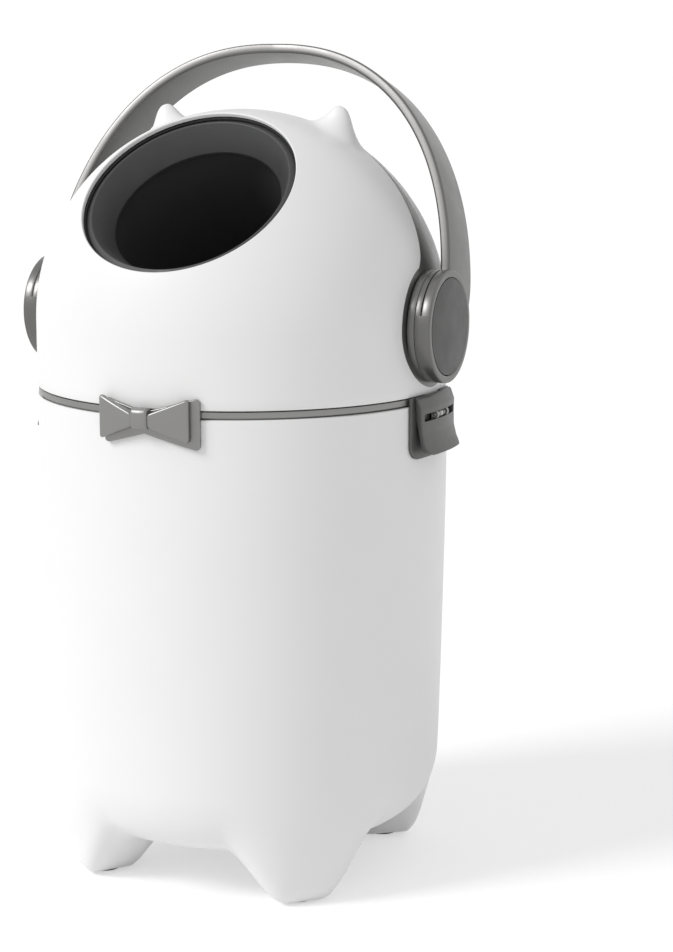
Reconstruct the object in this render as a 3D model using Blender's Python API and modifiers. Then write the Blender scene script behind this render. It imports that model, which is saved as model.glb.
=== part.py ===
"""Nappy bin: a tall bin on four feet, with a lift-off head that holds a turning drum and its carrying handle.

The bin faces -Y and stands on the floor at Z = 0. Lengths are in metres.
"""

import math

import bmesh
import bpy
from mathutils import Matrix, Vector

# Shells and fits
seam_radius = 0.150            # outside of the bin at the seam, and of the dome
wall = 0.003                   # moulded shells
fit_gap = 0.0003               # between pieces that seat on each other
overrun = 0.004                # how far a cutter runs past what it cuts
round_steps = 48               # sides of the large round pieces, the body's too
hub_steps = 36                 # of the hubs and their caps
small_steps = 20               # of the small ones
screw_steps = 16
dome_steps = 10                # rings from a crown down to its middle
bend_steps = 6                 # strips of a panel that is bent round the bin

# Bin body, from the floor up
body_height = 0.3546
wall_draw = 0.0045             # the wall draws in by this much at the shoulder
shoulder_height = 0.095        # where the wall starts to turn under
belly_height = 0.037           # underside between the feet
belly_flat_radius = 0.098
belly_fullness = 0.85          # 1 is an ellipse, less is squarer
straight_share = 0.20          # of the wall stands straight under the rim
halfway_share = 0.45           # where the wall's one bend lies, on its way down to the shoulder
foot_offset = 0.079            # foot centres from both middle planes
foot_flat_radius = 0.0135
pad_radius = 0.0115
pad_thickness = 0.0014
foot_flat_angle = math.radians(6)
foot_blend_angle = math.radians(27)

# Collar ring on the rim of the body
collar_height = 0.0055
collar_recess = 0.0008         # it lies this much inside the white shells
collar_chamfer = 0.0005
spigot_height = 0.006          # lip that centres the head
skirt_depth = 0.010
spigot_thickness = 0.0035

# Bag ring
bag_ring_thickness = 0.0020
bag_ring_skirt = 0.0125

# Head
pivot_rise = 0.0476            # handle axis and dome centre above the collar
opening_tilt = math.radians(41.3)
opening_radius = 0.0776
rim_chamfer = 0.0007
ear_offset = 0.0680            # ears from the middle plane
ear_setback = 0.018
ear_height = 0.0192
ear_base_radius = 0.0275
ear_lean = math.radians(12)
ear_depth_share = 0.85
ear_wall = 0.0035
inlay_thickness = 0.0014
inlay_tail_height = 0.121      # tip of the inlay above the handle axis
inlay_lobe_radius = 0.0435
inlay_lean = math.radians(13.3)
inlay_tail_spread = math.radians(30)   # the lobe's arc ends this far from the tail's middle line
floor_ring_width = 0.0061
floor_ring_thickness = 0.0020
floor_ring_upstand = 0.015
seal_thickness = 0.0018
seal_width = 0.0036
running_gap = 0.0005           # between a seal and what turns past it

# Drum, its chute and its piston
drum_gap = 0.003               # between the drum and the inside of the dome
drum_wall = 0.0025
mouth_radius = 0.0720
lip_radius = 0.0610
lip_depth = 0.0187             # from the mouth's edge down the funnel
lip_thickness = 0.0025
chute_radius = 0.0660
chute_bottom = 0.112           # below the handle axis, along the chute
drum_lap = 0.006
lap_foot = 0.018               # below the joint, where the wall starts to thicken to the lap
piston_height = 0.028
piston_clearance = 0.0005
piston_web = 0.0035
piston_groove = 0.007
seal_groove_depth = 0.0035

# Axles, hubs and handle
axle_radius = 0.0120
axle_flange_radius = 0.024
axle_flange_thickness = 0.0024
bush_thickness = 0.0037
hub_radius = 0.0400
hub_inner_face = 0.1512
hub_outer_face = 0.1625
hub_web = 0.0014               # under the screw's head
hub_edge = 0.0012
cap_radius = 0.0343
cap_thickness = 0.0020
screw_head_radius = 0.0060
screw_head_height = 0.0032
screw_radius = 0.0025
screw_length = 0.016
handle_lean = math.radians(16.5)
handle_rise = 0.2048           # outside of the arch above its axis
arch_power = 2.25              # 2 is an ellipse, more is squarer
strap_thickness = 0.0071
strap_half_width = 0.0145      # at the top of the arch
strap_spread = 0.0095          # added towards the hubs
strap_setback = 0.0140         # middle of the strap behind the handle axis
strap_edge = 0.0014
strap_root_flare = 0.0040
arch_steps = 36

# Side latches
latch_half_width = 0.0360
latch_height = 0.0440
latch_corner = 0.0100
latch_plate = 0.0020
lever_half_width = 0.0315
lever_foot_half_width = 0.0280
lever_corner = 0.0060
lever_thickness = 0.0022
lever_height = 0.0405
lever_standoff = 0.0050        # inside face of the lever off the body
lever_foot_standoff = 0.0080   # the same at its flared foot
lever_top_setback = 0.0022
lever_crease = 0.0055          # from the top edge down to the crease
lever_flare_start = 0.0290     # from the top edge down
window_half_width = 0.0265
window_height = 0.0054
window_drop = 0.0115           # from the lever's top edge down to the window
pin_radius = 0.00125
pin_half_length = 0.0125
pin_standoff = 0.0050
pin_clearance = 0.0003
knuckle_radius = 0.0022
knuckle_offset = 0.0050
knuckle_half_width = 0.0016
lug_offset = 0.0093
lug_half_width = 0.0016
lug_half_height = 0.0039
lug_clearance = 0.0007         # between a lug and the latch plate
spring_coil_radius = 0.0021
spring_wire = 0.0004
spring_turns = 3
spring_leg = 0.0060
spring_half_width = 0.0026
catch_half_width = 0.0120
catch_thickness = 0.0018
catch_drop = 0.0043            # below the head's lower edge
tooth_height = 0.0018
tooth_drop = 0.0024            # from the lever's top edge down to the tooth
tooth_half_width = 0.0090
catch_slot_depth = 0.0006

# Bow on the front of the collar
bow_half_width = 0.0370
bow_half_height = 0.0172
bow_waist = 0.0080
bow_clip_reach = 0.0090        # front of the clip off the body
bow_wing_reach = 0.0162
bow_wing_inset = 0.0024
bow_corner = 0.0028
bow_bevel = 0.0014
knot_half_width = 0.0066
knot_half_height = 0.0082
knot_reach = 0.0185            # front of the knot off the body
bow_slot_depth = 0.0032
bow_slot_spare = 0.0006
knot_fullness = 0.6            # 1 is an ellipse, less is squarer
knot_steps = 10
bevel_from_angle = math.radians(50)

# Derived heights and radii
collar_bottom = body_height + fit_gap
collar_top = collar_bottom + collar_height
head_bottom = collar_top + fit_gap
pivot_height = collar_top + pivot_rise
inner_radius = seam_radius - wall
drum_radius = inner_radius - drum_gap
seam_middle = (collar_bottom + collar_top) / 2
axis_setback = knot_reach / 2
sides = (("left", -1), ("right", 1))


def clear_scene():
    for thing in list(bpy.data.objects):
        bpy.data.objects.remove(thing, do_unlink=True)


def new_collection(name):
    collection = bpy.data.collections.new(name)
    bpy.context.scene.collection.children.link(collection)
    return collection


def plastic(name, colour, roughness, metallic=0.0):
    material = bpy.data.materials.new(name)
    material.use_nodes = True
    shader = material.node_tree.nodes["Principled BSDF"]
    shader.inputs["Base Color"].default_value = (*colour, 1.0)
    shader.inputs["Roughness"].default_value = roughness
    shader.inputs["Metallic"].default_value = metallic
    return material


clear_scene()
parts = new_collection("nappy_bin")
cutters = new_collection("nappy_bin_cutters")

white_shell = plastic("white_shell", (0.86, 0.86, 0.85), 0.35)
silver_grey = plastic("silver_grey", (0.30, 0.30, 0.29), 0.38, 0.6)
drum_grey = plastic("drum_grey", (0.045, 0.045, 0.047), 0.55)
soft_rubber = plastic("soft_rubber", (0.02, 0.02, 0.02), 0.8)
bright_steel = plastic("bright_steel", (0.55, 0.55, 0.56), 0.3, 1.0)
pale_nylon = plastic("pale_nylon", (0.70, 0.70, 0.68), 0.45)


def frame_empty(name, location=(0, 0, 0), rotation=(0, 0, 0), parent=None):
    empty = bpy.data.objects.new(name, None)
    empty.empty_display_size = cap_radius
    empty.location = location
    empty.rotation_euler = rotation
    empty.parent = parent
    parts.objects.link(empty)
    return empty


def add_part(name, mesh, material, parent, rotation=(0, 0, 0), location=(0, 0, 0), smooth=True):
    part = bpy.data.objects.new(name, mesh)
    mesh.materials.clear()
    mesh.materials.append(material)
    part.parent = parent
    part.location = location
    part.rotation_euler = rotation
    parts.objects.link(part)
    if smooth:
        mesh.shade_smooth()
        mesh.set_sharp_from_angle(angle=math.radians(35))
    return part


def add_cutter(name, mesh, parent=None, rotation=(0, 0, 0), location=(0, 0, 0)):
    cutter = bpy.data.objects.new(name, mesh)
    cutter.parent = parent
    cutter.location = location
    cutter.rotation_euler = rotation
    cutter.hide_render = True
    cutter.display_type = "WIRE"
    cutters.objects.link(cutter)
    return cutter


def boolean(target, other, operation="DIFFERENCE"):
    step = target.modifiers.new(f"{operation.lower()}_{other.name}", "BOOLEAN")
    step.operation = operation
    step.object = other
    step.solver = "EXACT"


def mesh_from(form, name):
    bmesh.ops.recalc_face_normals(form, faces=form.faces)
    mesh = bpy.data.meshes.new(name)
    form.to_mesh(mesh)
    form.free()
    return mesh


def turned_mesh(name, outline, steps, closed=True):
    """Turn an outline of (radius, height) points once round Z, with the Screw modifier."""
    mesh = bpy.data.meshes.new(name)
    count = len(outline)
    edges = [(i, i + 1) for i in range(count - 1)]
    if closed:
        edges.append((count - 1, 0))
    mesh.from_pydata([(radius, 0, height) for radius, height in outline], edges, [])
    holder = bpy.data.objects.new(name, mesh)
    bpy.context.scene.collection.objects.link(holder)
    screw = holder.modifiers.new("turn", "SCREW")
    screw.steps = steps
    screw.render_steps = steps
    screw.use_merge_vertices = True
    screw.merge_threshold = overrun / 100
    return baked(holder)


def baked(holder):
    """The evaluated mesh of a helper object, which is removed."""
    graph = bpy.context.evaluated_depsgraph_get()
    mesh = bpy.data.meshes.new_from_object(holder.evaluated_get(graph))
    mesh.name = holder.name
    bpy.data.objects.remove(holder, do_unlink=True)
    return mesh


def prism_mesh(name, outline, axis, low, high):
    """Draw an outline, given in the two axes left over, straight along the third."""
    place = {
        "x": lambda a, b, c: (c, a, b),
        "y": lambda a, b, c: (a, c, b),
        "z": lambda a, b, c: (a, b, c),
    }[axis]
    form = bmesh.new()
    face = form.faces.new([form.verts.new(place(a, b, low)) for a, b in outline])
    drawn = bmesh.ops.extrude_face_region(form, geom=[face])["geom"]
    moved = [item for item in drawn if isinstance(item, bmesh.types.BMVert)]
    bmesh.ops.translate(form, verts=moved, vec=place(0, 0, high - low))
    return mesh_from(form, name)


def box_mesh(name, low, high):
    form = bmesh.new()
    bmesh.ops.create_cube(form, size=1)
    size = Vector(high) - Vector(low)
    middle = (Vector(high) + Vector(low)) / 2
    bmesh.ops.scale(form, vec=size, verts=form.verts)
    bmesh.ops.translate(form, vec=middle, verts=form.verts)
    return mesh_from(form, name)


def arc(centre, radius, start, end, steps):
    """Points on a circle, angles in radians from the first axis."""
    points = []
    for step in range(steps + 1):
        angle = start + (end - start) * step / steps
        points.append((centre[0] + radius * math.cos(angle), centre[1] + radius * math.sin(angle)))
    return points


def circle(radius, steps):
    """A circle about the axis, with a flat rather than a corner on either axis line."""
    start = math.pi / steps
    return arc((0, 0), radius, start, start + 2 * math.pi, steps)[:-1]


def rounded(corners, radius, steps=4):
    """An outline with each corner replaced by a short arc of the given radius."""
    points = []
    count = len(corners)
    for index, corner in enumerate(corners):
        here = Vector(corner)
        before = (Vector(corners[index - 1]) - here).normalized()
        after = (Vector(corners[(index + 1) % count]) - here).normalized()
        half = before.angle(after) / 2
        reach = radius / math.tan(half)
        centre = here + (before + after).normalized() * (radius / math.sin(half))
        start, end = (here + way * reach - centre for way in (before, after))
        first = math.atan2(start.y, start.x)
        turn = math.remainder(math.atan2(end.y, end.x) - first, 2 * math.pi)
        points += arc(centre, radius, first, first + turn, steps)
    return points


def bent_mesh(mesh, half_width, steps):
    """Bend a flat panel round the bin: X is the stand-off from the body, Y runs round it."""
    form = bmesh.new()
    form.from_mesh(mesh)
    bmesh.ops.triangulate(form, faces=form.faces)
    for step in range(1, steps):
        place = (0, half_width * (2 * step / steps - 1), 0)
        everything = form.verts[:] + form.edges[:] + form.faces[:]
        bmesh.ops.bisect_plane(form, geom=everything, plane_co=place, plane_no=(0, 1, 0))
    bmesh.ops.triangulate(form, faces=form.faces)
    for vertex in form.verts:
        radius = seam_radius + vertex.co.x
        angle = vertex.co.y / seam_radius
        vertex.co = Vector((radius * math.cos(angle), radius * math.sin(angle), vertex.co.z))
    return mesh_from(form, mesh.name)


def smooth_step(value):
    value = min(1, max(0, value))
    return value * value * (3 - 2 * value)


def blend(a, b, share):
    return a + (b - a) * share


bin_axis = frame_empty("bin_axis", location=(0, axis_setback, 0))
handle_axis = frame_empty(
    "handle_axis", location=(0, 0, pivot_height), rotation=(-handle_lean, 0, 0), parent=bin_axis)
inlay_axis = frame_empty(
    "inlay_axis", location=(0, 0, pivot_height), rotation=(-inlay_lean, 0, 0), parent=bin_axis)
chute_axis = frame_empty(
    "chute_axis", location=(0, 0, pivot_height), rotation=(opening_tilt, 0, 0), parent=bin_axis)


# Bin body and its feet
def foot_weight(angle):
    """1 over a foot, 0 between two feet."""
    quarter = math.pi / 2
    from_foot = abs((angle % quarter) - quarter / 2)
    return 1 - smooth_step((from_foot - foot_flat_angle) / (foot_blend_angle - foot_flat_angle))


def body_profiles():
    """Two profiles with as many points: one between the feet and one down a foot."""
    shoulder_radius = seam_radius - wall_draw
    foot_radius = foot_offset * math.sqrt(2)
    sole = pad_thickness + fit_gap
    outer = foot_radius + foot_flat_radius
    inner = foot_radius - foot_flat_radius
    slope_shares = ((0.95, 0.76), (0.84, 0.53), (0.64, 0.29), (0.48, 0.13), (0.26, 0.035))
    foot = [(blend(outer, shoulder_radius, out), blend(sole, shoulder_height, up)) for out, up in slope_shares]
    foot += [(outer, sole), (inner, sole)]
    inside_shares = ((0.93, 0.08), (0.84, 0.35), (0.74, 0.68), (0.62, 0.91), (0.48, 1.0))
    foot += [(inner * across, blend(sole, belly_height, up)) for across, up in inside_shares]
    corner_steps = 8
    belly = []
    for step in range(1, corner_steps + 1):
        angle = math.pi / 2 * step / corner_steps
        out = max(0, math.cos(angle)) ** belly_fullness
        down = math.sin(angle) ** belly_fullness
        belly.append((blend(belly_flat_radius, shoulder_radius, out), blend(shoulder_height, belly_height, down)))
    belly += [(inner * across, belly_height) for across, up in inside_shares[-4:]]
    return belly, foot


def body_rows():
    straight = body_height - (body_height - shoulder_height) * straight_share
    bend = (seam_radius - wall_draw * halfway_share, blend(shoulder_height, straight, halfway_share))
    rows = [
        [(seam_radius, body_height)] * round_steps,
        [(seam_radius, straight)] * round_steps,
        [bend] * round_steps,
        [(seam_radius - wall_draw, shoulder_height)] * round_steps,
    ]
    belly, foot = body_profiles()
    for (belly_r, belly_z), (foot_r, foot_z) in zip(belly, foot):
        row = []
        for column in range(round_steps):
            weight = foot_weight(2 * math.pi * column / round_steps)
            row.append((blend(belly_r, foot_r, weight), blend(belly_z, foot_z, weight)))
        rows.append(row)
    return rows


def make_bin_body():
    form = bmesh.new()
    grid = []
    for row in body_rows():
        ring = []
        for column, (radius, height) in enumerate(row):
            angle = 2 * math.pi * column / round_steps
            ring.append(form.verts.new((radius * math.cos(angle), radius * math.sin(angle), height)))
        grid.append(ring)
    for upper, lower in zip(grid, grid[1:]):
        for column in range(round_steps):
            after = (column + 1) % round_steps
            form.faces.new((upper[column], lower[column], lower[after], upper[after]))
    form.faces.new(grid[-1])
    body = add_part("bin_body", mesh_from(form, "bin_body"), white_shell, bin_axis)
    shell = body.modifiers.new("wall", "SOLIDIFY")
    shell.thickness = wall
    shell.offset = -1
    shell.use_even_offset = True


def make_foot_pads():
    outline = [(0, pad_thickness), (pad_radius, pad_thickness), (pad_radius, 0), (0, 0)]
    mesh = turned_mesh("foot_pad", outline, small_steps, closed=False)
    for end, along in (("front", -1), ("rear", 1)):
        for side, across in sides:
            place = (across * foot_offset, along * foot_offset, 0)
            add_part(f"foot_pad_{end}_{side}", mesh, soft_rubber, bin_axis, location=place)


make_bin_body()
make_foot_pads()


# Collar ring, with the notches that the head's catches drop into
def make_collar_ring():
    outer = seam_radius - collar_recess
    lip = inner_radius - fit_gap
    lip_inside = lip - spigot_thickness
    top = collar_top + spigot_height
    bottom = collar_bottom - skirt_depth
    outline = [
        (lip, top), (lip, collar_top), (outer - collar_chamfer, collar_top),
        (outer, collar_top - collar_chamfer), (outer, collar_bottom + collar_chamfer),
        (outer - collar_chamfer, collar_bottom), (lip, collar_bottom), (lip, bottom),
        (lip_inside, bottom), (lip_inside, top),
    ]
    ring = add_part("collar_ring", turned_mesh("collar_ring", outline, round_steps), silver_grey, bin_axis)
    notch_floor = seam_radius - collar_recess - catch_thickness
    half_width = catch_half_width + fit_gap
    for side, across in sides:
        reach = sorted((across * notch_floor, across * (seam_radius + overrun)))
        low = (reach[0], -half_width, collar_bottom - fit_gap / 2)
        high = (reach[1], half_width, collar_top + fit_gap / 2)
        notch = add_cutter(f"collar_notch_{side}", box_mesh("collar_notch", low, high), bin_axis)
        boolean(ring, notch)


def make_bag_ring():
    seat = collar_top + spigot_height + fit_gap
    outer = inner_radius - fit_gap
    skirt_outer = outer - spigot_thickness - fit_gap
    skirt_inner = skirt_outer - bag_ring_thickness
    outline = [
        (outer, seat + bag_ring_thickness), (outer, seat), (skirt_outer, seat),
        (skirt_outer, seat - bag_ring_skirt), (skirt_inner, seat - bag_ring_skirt),
        (skirt_inner, seat + bag_ring_thickness),
    ]
    add_part("bag_ring", turned_mesh("bag_ring", outline, round_steps), pale_nylon, bin_axis)


make_collar_ring()
make_bag_ring()


# Head: dome, ears, opening, side inlays
def skin_outline(radius, bottom, steps, chamfer=0.0):
    """Cylinder with a dome on it, from the crown down to the bottom edge and in to the axis."""
    points = [(0, pivot_height + radius)]
    for step in range(1, steps + 1):
        angle = math.pi / 2 * step / steps
        points.append((radius * math.sin(angle), pivot_height + radius * math.cos(angle)))
    if chamfer:
        points.append((radius, bottom + chamfer))
    return points + [(radius - chamfer, bottom), (0, bottom)]


inlay_band_start = math.asin(ear_offset / seam_radius) - math.asin(overrun / seam_radius)


def skin_band(name, outer, inner):
    """The skin of the head round the handle axis, as a turned band."""
    bottom = -inlay_lobe_radius - overrun
    steps = dome_steps
    outline = []
    for radius, turn in ((outer, 1), (inner, -1)):
        run = [(radius * math.sin(angle), pivot_height + radius * math.cos(angle))
               for angle in (blend(inlay_band_start, math.pi / 2, step / steps) for step in range(steps + 1))]
        run.append((radius, pivot_height + bottom))
        outline += run[::turn]
    return turned_mesh(name, outline, round_steps)


ear_shares = ((0.0, 1.0), (0.11, 0.985), (0.19, 0.92), (0.27, 0.76), (0.36, 0.52), (0.48, 0.27),
              (0.66, 0.06), (0.86, -0.09), (1.0, -0.19))


def ear_mesh(name, shrink):
    """A round-tipped cone with a flared foot, drawn in by the shrink for the hollow inside it."""
    outline = [(max(0, ear_base_radius * out - shrink * min(1, out * 5)), ear_height * up - shrink)
               for out, up in ear_shares]
    outline += [(outline[-1][0], -ear_height), (0, -ear_height)]
    return turned_mesh(name, outline, small_steps, closed=False)


def ear_place(across):
    rise = math.sqrt(seam_radius ** 2 - ear_offset ** 2 - ear_setback ** 2)
    return (across * ear_offset, ear_setback, pivot_height + rise)


inlay_tail_shares = ((0.40, 0.08), (0.31, 0.20), (0.235, 0.36), (0.16, 0.55), (0.09, 0.76), (0.02, 1.0))


def inlay_outline(spare):
    """A round lobe about the handle axis with a tapering tail, in (Y, Z) of the handle."""
    radius = inlay_lobe_radius + spare
    start, end = math.pi / 2 + inlay_tail_spread, math.pi * 5 / 2 - inlay_tail_spread
    lobe = arc((0, 0), radius, start, end, small_steps)
    tail = [(inlay_lobe_radius * wide + spare, blend(lobe[0][1], inlay_tail_height + spare, up))
            for wide, up in inlay_tail_shares]
    return lobe + tail + [(-y, z) for y, z in reversed(tail)]


def side_prism(name, outline, across, low, high, frame=handle_axis):
    """A prism along X on one side of the bin, in the handle's frame or another one about its axis."""
    start, end = sorted((across * low, across * high))
    return add_cutter(name, prism_mesh(name, outline, "x", start, end), frame)


bush_radius = axle_radius + fit_gap + bush_thickness
inlay_start = math.sqrt(seam_radius ** 2 - inlay_tail_height ** 2) - overrun


def make_head():
    skin = skin_outline(seam_radius, head_bottom, dome_steps + 2, rim_chamfer)
    outer = turned_mesh("head_shell", skin, round_steps, closed=False)
    head = add_part("head_shell", outer, white_shell, bin_axis)
    inside = skin_outline(inner_radius, head_bottom - overrun, dome_steps + 2)
    hollow_mesh = turned_mesh("head_hollow", inside, round_steps, closed=False)
    hollow = add_cutter("head_hollow", hollow_mesh, bin_axis)
    for side, across in sides:
        lean = (0, across * ear_lean, 0)
        for kind, shrink, target in (("ear", 0, head), ("ear_hollow", ear_wall, hollow)):
            ear = add_cutter(f"{kind}_{side}", ear_mesh(f"{kind}_{side}", shrink), bin_axis, lean, ear_place(across))
            ear.scale = (1, ear_depth_share, 1)
            boolean(target, ear, "UNION")
    boolean(head, hollow)
    top = seam_radius + overrun
    hole = [(0, top), (opening_radius, top), (opening_radius, 0), (0, 0)]
    hole_mesh = turned_mesh("head_opening", hole, round_steps, closed=False)
    boolean(head, add_cutter("head_opening", hole_mesh, chute_axis))
    return head


def make_side_of_head(head, side, across):
    """The pocket, the inlay that fills it, the axle's bush and the catch on one side."""
    bore = circle(bush_radius + fit_gap, small_steps)
    reach = seam_radius + 2 * overrun
    bore_cutter = side_prism(f"bush_bore_{side}", bore, across, drum_radius - overrun, reach)
    boolean(head, bore_cutter)

    pocket_floor = seam_radius - inlay_thickness - fit_gap
    pocket_mesh = skin_band(f"inlay_pocket_{side}", seam_radius + overrun, pocket_floor)
    pocket = add_cutter(f"inlay_pocket_{side}", pocket_mesh, bin_axis)
    pocket_line = inlay_outline(fit_gap)
    pocket_edge = side_prism(f"pocket_edge_{side}", pocket_line, across, inlay_start, reach, inlay_axis)
    boolean(pocket, pocket_edge, "INTERSECT")
    boolean(head, pocket)

    inlay = add_part(f"side_inlay_{side}", skin_band("side_inlay", seam_radius, seam_radius - inlay_thickness),
                     silver_grey, bin_axis)
    edge = side_prism(f"inlay_edge_{side}", inlay_outline(0), across, inlay_start, reach, inlay_axis)
    boolean(inlay, edge, "INTERSECT")
    boolean(inlay, bore_cutter)

    inside = axle_radius + fit_gap
    bush_outline = [(bush_radius, hub_inner_face - 2 * fit_gap), (bush_radius, drum_radius + 2 * fit_gap),
                    (inside, drum_radius + 2 * fit_gap), (inside, hub_inner_face - 2 * fit_gap)]
    add_part(f"axle_bush_{side}", turned_mesh("axle_bush", bush_outline, small_steps), pale_nylon,
             handle_axis, rotation=(0, across * math.pi / 2, 0))

    face = seam_radius - collar_recess
    ends = sorted((across * (face - catch_thickness + fit_gap), across * face))
    low = (ends[0], -catch_half_width, head_bottom - catch_drop)
    high = (ends[1], catch_half_width, head_bottom + wall / 2)
    boolean(head, add_cutter(f"catch_{side}", box_mesh("catch", low, high), bin_axis), "UNION")
    tooth_top = collar_top - tooth_drop
    ends = sorted((across * (face - catch_slot_depth), across * (face + overrun)))
    low = (ends[0], -tooth_half_width - fit_gap, tooth_top - tooth_height - fit_gap)
    high = (ends[1], tooth_half_width + fit_gap, tooth_top + fit_gap)
    boolean(head, add_cutter(f"catch_slot_{side}", box_mesh("catch_slot", low, high), bin_axis))


def make_head_floor():
    seat = collar_top + spigot_height + bag_ring_thickness + 3 * fit_gap
    outer = inner_radius - fit_gap
    inner = outer - floor_ring_width
    shelf = seat + floor_ring_thickness
    outline = [
        (outer, seat + floor_ring_upstand), (outer, seat), (inner, seat), (inner, shelf),
        (outer - floor_ring_thickness, shelf), (outer - floor_ring_thickness, seat + floor_ring_upstand),
    ]
    add_part("head_floor", turned_mesh("head_floor", outline, round_steps), white_shell, bin_axis)
    top = shelf + fit_gap + seal_thickness
    inside = math.sqrt(drum_radius ** 2 - (pivot_height - top) ** 2) + running_gap
    under, outside = shelf + fit_gap, inside + seal_width
    seal = [(outside, top), (outside, under), (inside, under), (inside, top)]
    add_part("floor_seal", turned_mesh("floor_seal", seal, round_steps), soft_rubber, bin_axis)


def make_opening_seal():
    inner = drum_radius + running_gap
    outer = inner + seal_thickness
    start = math.asin(opening_radius / inner_radius) + fit_gap / seam_radius
    end = start + seal_width / seam_radius
    outline = []
    for radius, turn in ((outer, 1), (inner, -1)):
        run = [(radius * math.sin(angle), radius * math.cos(angle)) for angle in (start, (start + end) / 2, end)]
        outline += run[::turn]
    add_part("opening_seal", turned_mesh("opening_seal", outline, round_steps), soft_rubber, chute_axis)


head_part = make_head()
for side_name, side_sign in sides:
    make_side_of_head(head_part, side_name, side_sign)
make_head_floor()
make_opening_seal()


# Drum: two half balls round the chute, and the piston that clears the chute
def ball_arc(radius, start, end, steps):
    """Points of (radius, height) on a ball, angles in degrees from the chute's axis."""
    angles = [math.radians(blend(start, end, step / steps)) for step in range(steps + 1)]
    return [(radius * math.sin(angle), radius * math.cos(angle)) for angle in angles]


mouth_angle = math.asin(mouth_radius / drum_radius)
lap_outer = drum_radius - drum_wall - 2 * fit_gap
lap_inner = lap_outer - drum_wall
mouth_height = drum_radius * math.cos(mouth_angle)
lip_top = mouth_height - lip_depth
lip_bottom = lip_top - lip_thickness
chute_outer = chute_radius + drum_wall


def make_drum():
    inner = drum_radius - drum_wall
    seat_radius = chute_outer + drum_wall
    inner_angle = math.asin(seat_radius / inner)
    front = ball_arc(drum_radius, math.degrees(mouth_angle), 90, dome_steps - 2)
    front[-1] = (drum_radius, fit_gap / 2)
    back_of_front = ball_arc(inner, 90, math.degrees(inner_angle), dome_steps - 4)
    back_of_front[0] = (inner, fit_gap / 2)
    front += back_of_front + [(seat_radius, lip_bottom), (lip_radius, lip_bottom), (lip_radius, lip_top)]
    drum_front = add_part("drum_front", turned_mesh("drum_front", front, round_steps), drum_grey, chute_axis)

    lap_angle = 90 + math.degrees(math.asin(lap_foot / drum_radius))
    back = [(0, -inner)] + ball_arc(inner, 180, lap_angle, dome_steps - 3)[1:]
    back += [(lap_inner, -drum_lap), (lap_inner, drum_lap), (lap_outer, drum_lap), (lap_outer, -fit_gap / 2)]
    outside = ball_arc(drum_radius, 90, 180, dome_steps)
    outside[0] = (drum_radius, -fit_gap / 2)
    outside[-1] = (0, -drum_radius)
    back_mesh = turned_mesh("drum_back", back + outside, round_steps, closed=False)
    drum_back = add_part("drum_back", back_mesh, drum_grey, chute_axis)

    bore = circle(axle_radius + fit_gap, small_steps)
    reach = drum_radius + overrun
    bore_cutter = add_cutter("axle_bore", prism_mesh("axle_bore", bore, "x", -reach, reach), handle_axis)
    boolean(drum_front, bore_cutter)
    boolean(drum_back, bore_cutter)


def make_chute():
    top = lip_bottom - fit_gap
    outline = [(0, -chute_bottom), (chute_radius, -chute_bottom), (chute_radius, top), (chute_outer, top),
               (chute_outer, -chute_bottom - drum_wall), (0, -chute_bottom - drum_wall)]
    add_part("chute_tube", turned_mesh("chute_tube", outline, round_steps, closed=False), drum_grey, chute_axis)


def make_piston():
    radius = chute_radius - piston_clearance
    bottom = -chute_bottom + fit_gap
    top = bottom + piston_height
    groove_bottom = bottom + (piston_height - piston_groove) / 2
    groove_top = groove_bottom + piston_groove
    groove_floor = radius - seal_groove_depth
    outline = [(0, top), (radius - piston_web, top), (radius, top - piston_web), (radius, groove_top),
               (groove_floor, groove_top), (groove_floor, groove_bottom), (radius, groove_bottom),
               (radius, bottom), (groove_floor - piston_web, bottom), (groove_floor - piston_web, top - piston_web),
               (0, top - piston_web)]
    add_part("piston", turned_mesh("piston", outline, round_steps, closed=False), drum_grey, chute_axis)
    seal = [(radius, groove_top - fit_gap), (radius, groove_bottom + fit_gap),
            (groove_floor + fit_gap, groove_bottom + fit_gap), (groove_floor + fit_gap, groove_top - fit_gap)]
    add_part("piston_seal", turned_mesh("piston_seal", seal, round_steps), soft_rubber, chute_axis)


make_drum()
make_chute()
make_piston()


# Axles, hubs, caps and the carrying handle, which all turn with the drum
seat_floor = hub_outer_face - cap_thickness - fit_gap
hub_split = hub_outer_face - strap_thickness
screw_seat = hub_inner_face + hub_web
strap_start = 3                # degrees up the arch
strap_back_angles = (strap_start, 5, 7, 9, 11)


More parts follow.
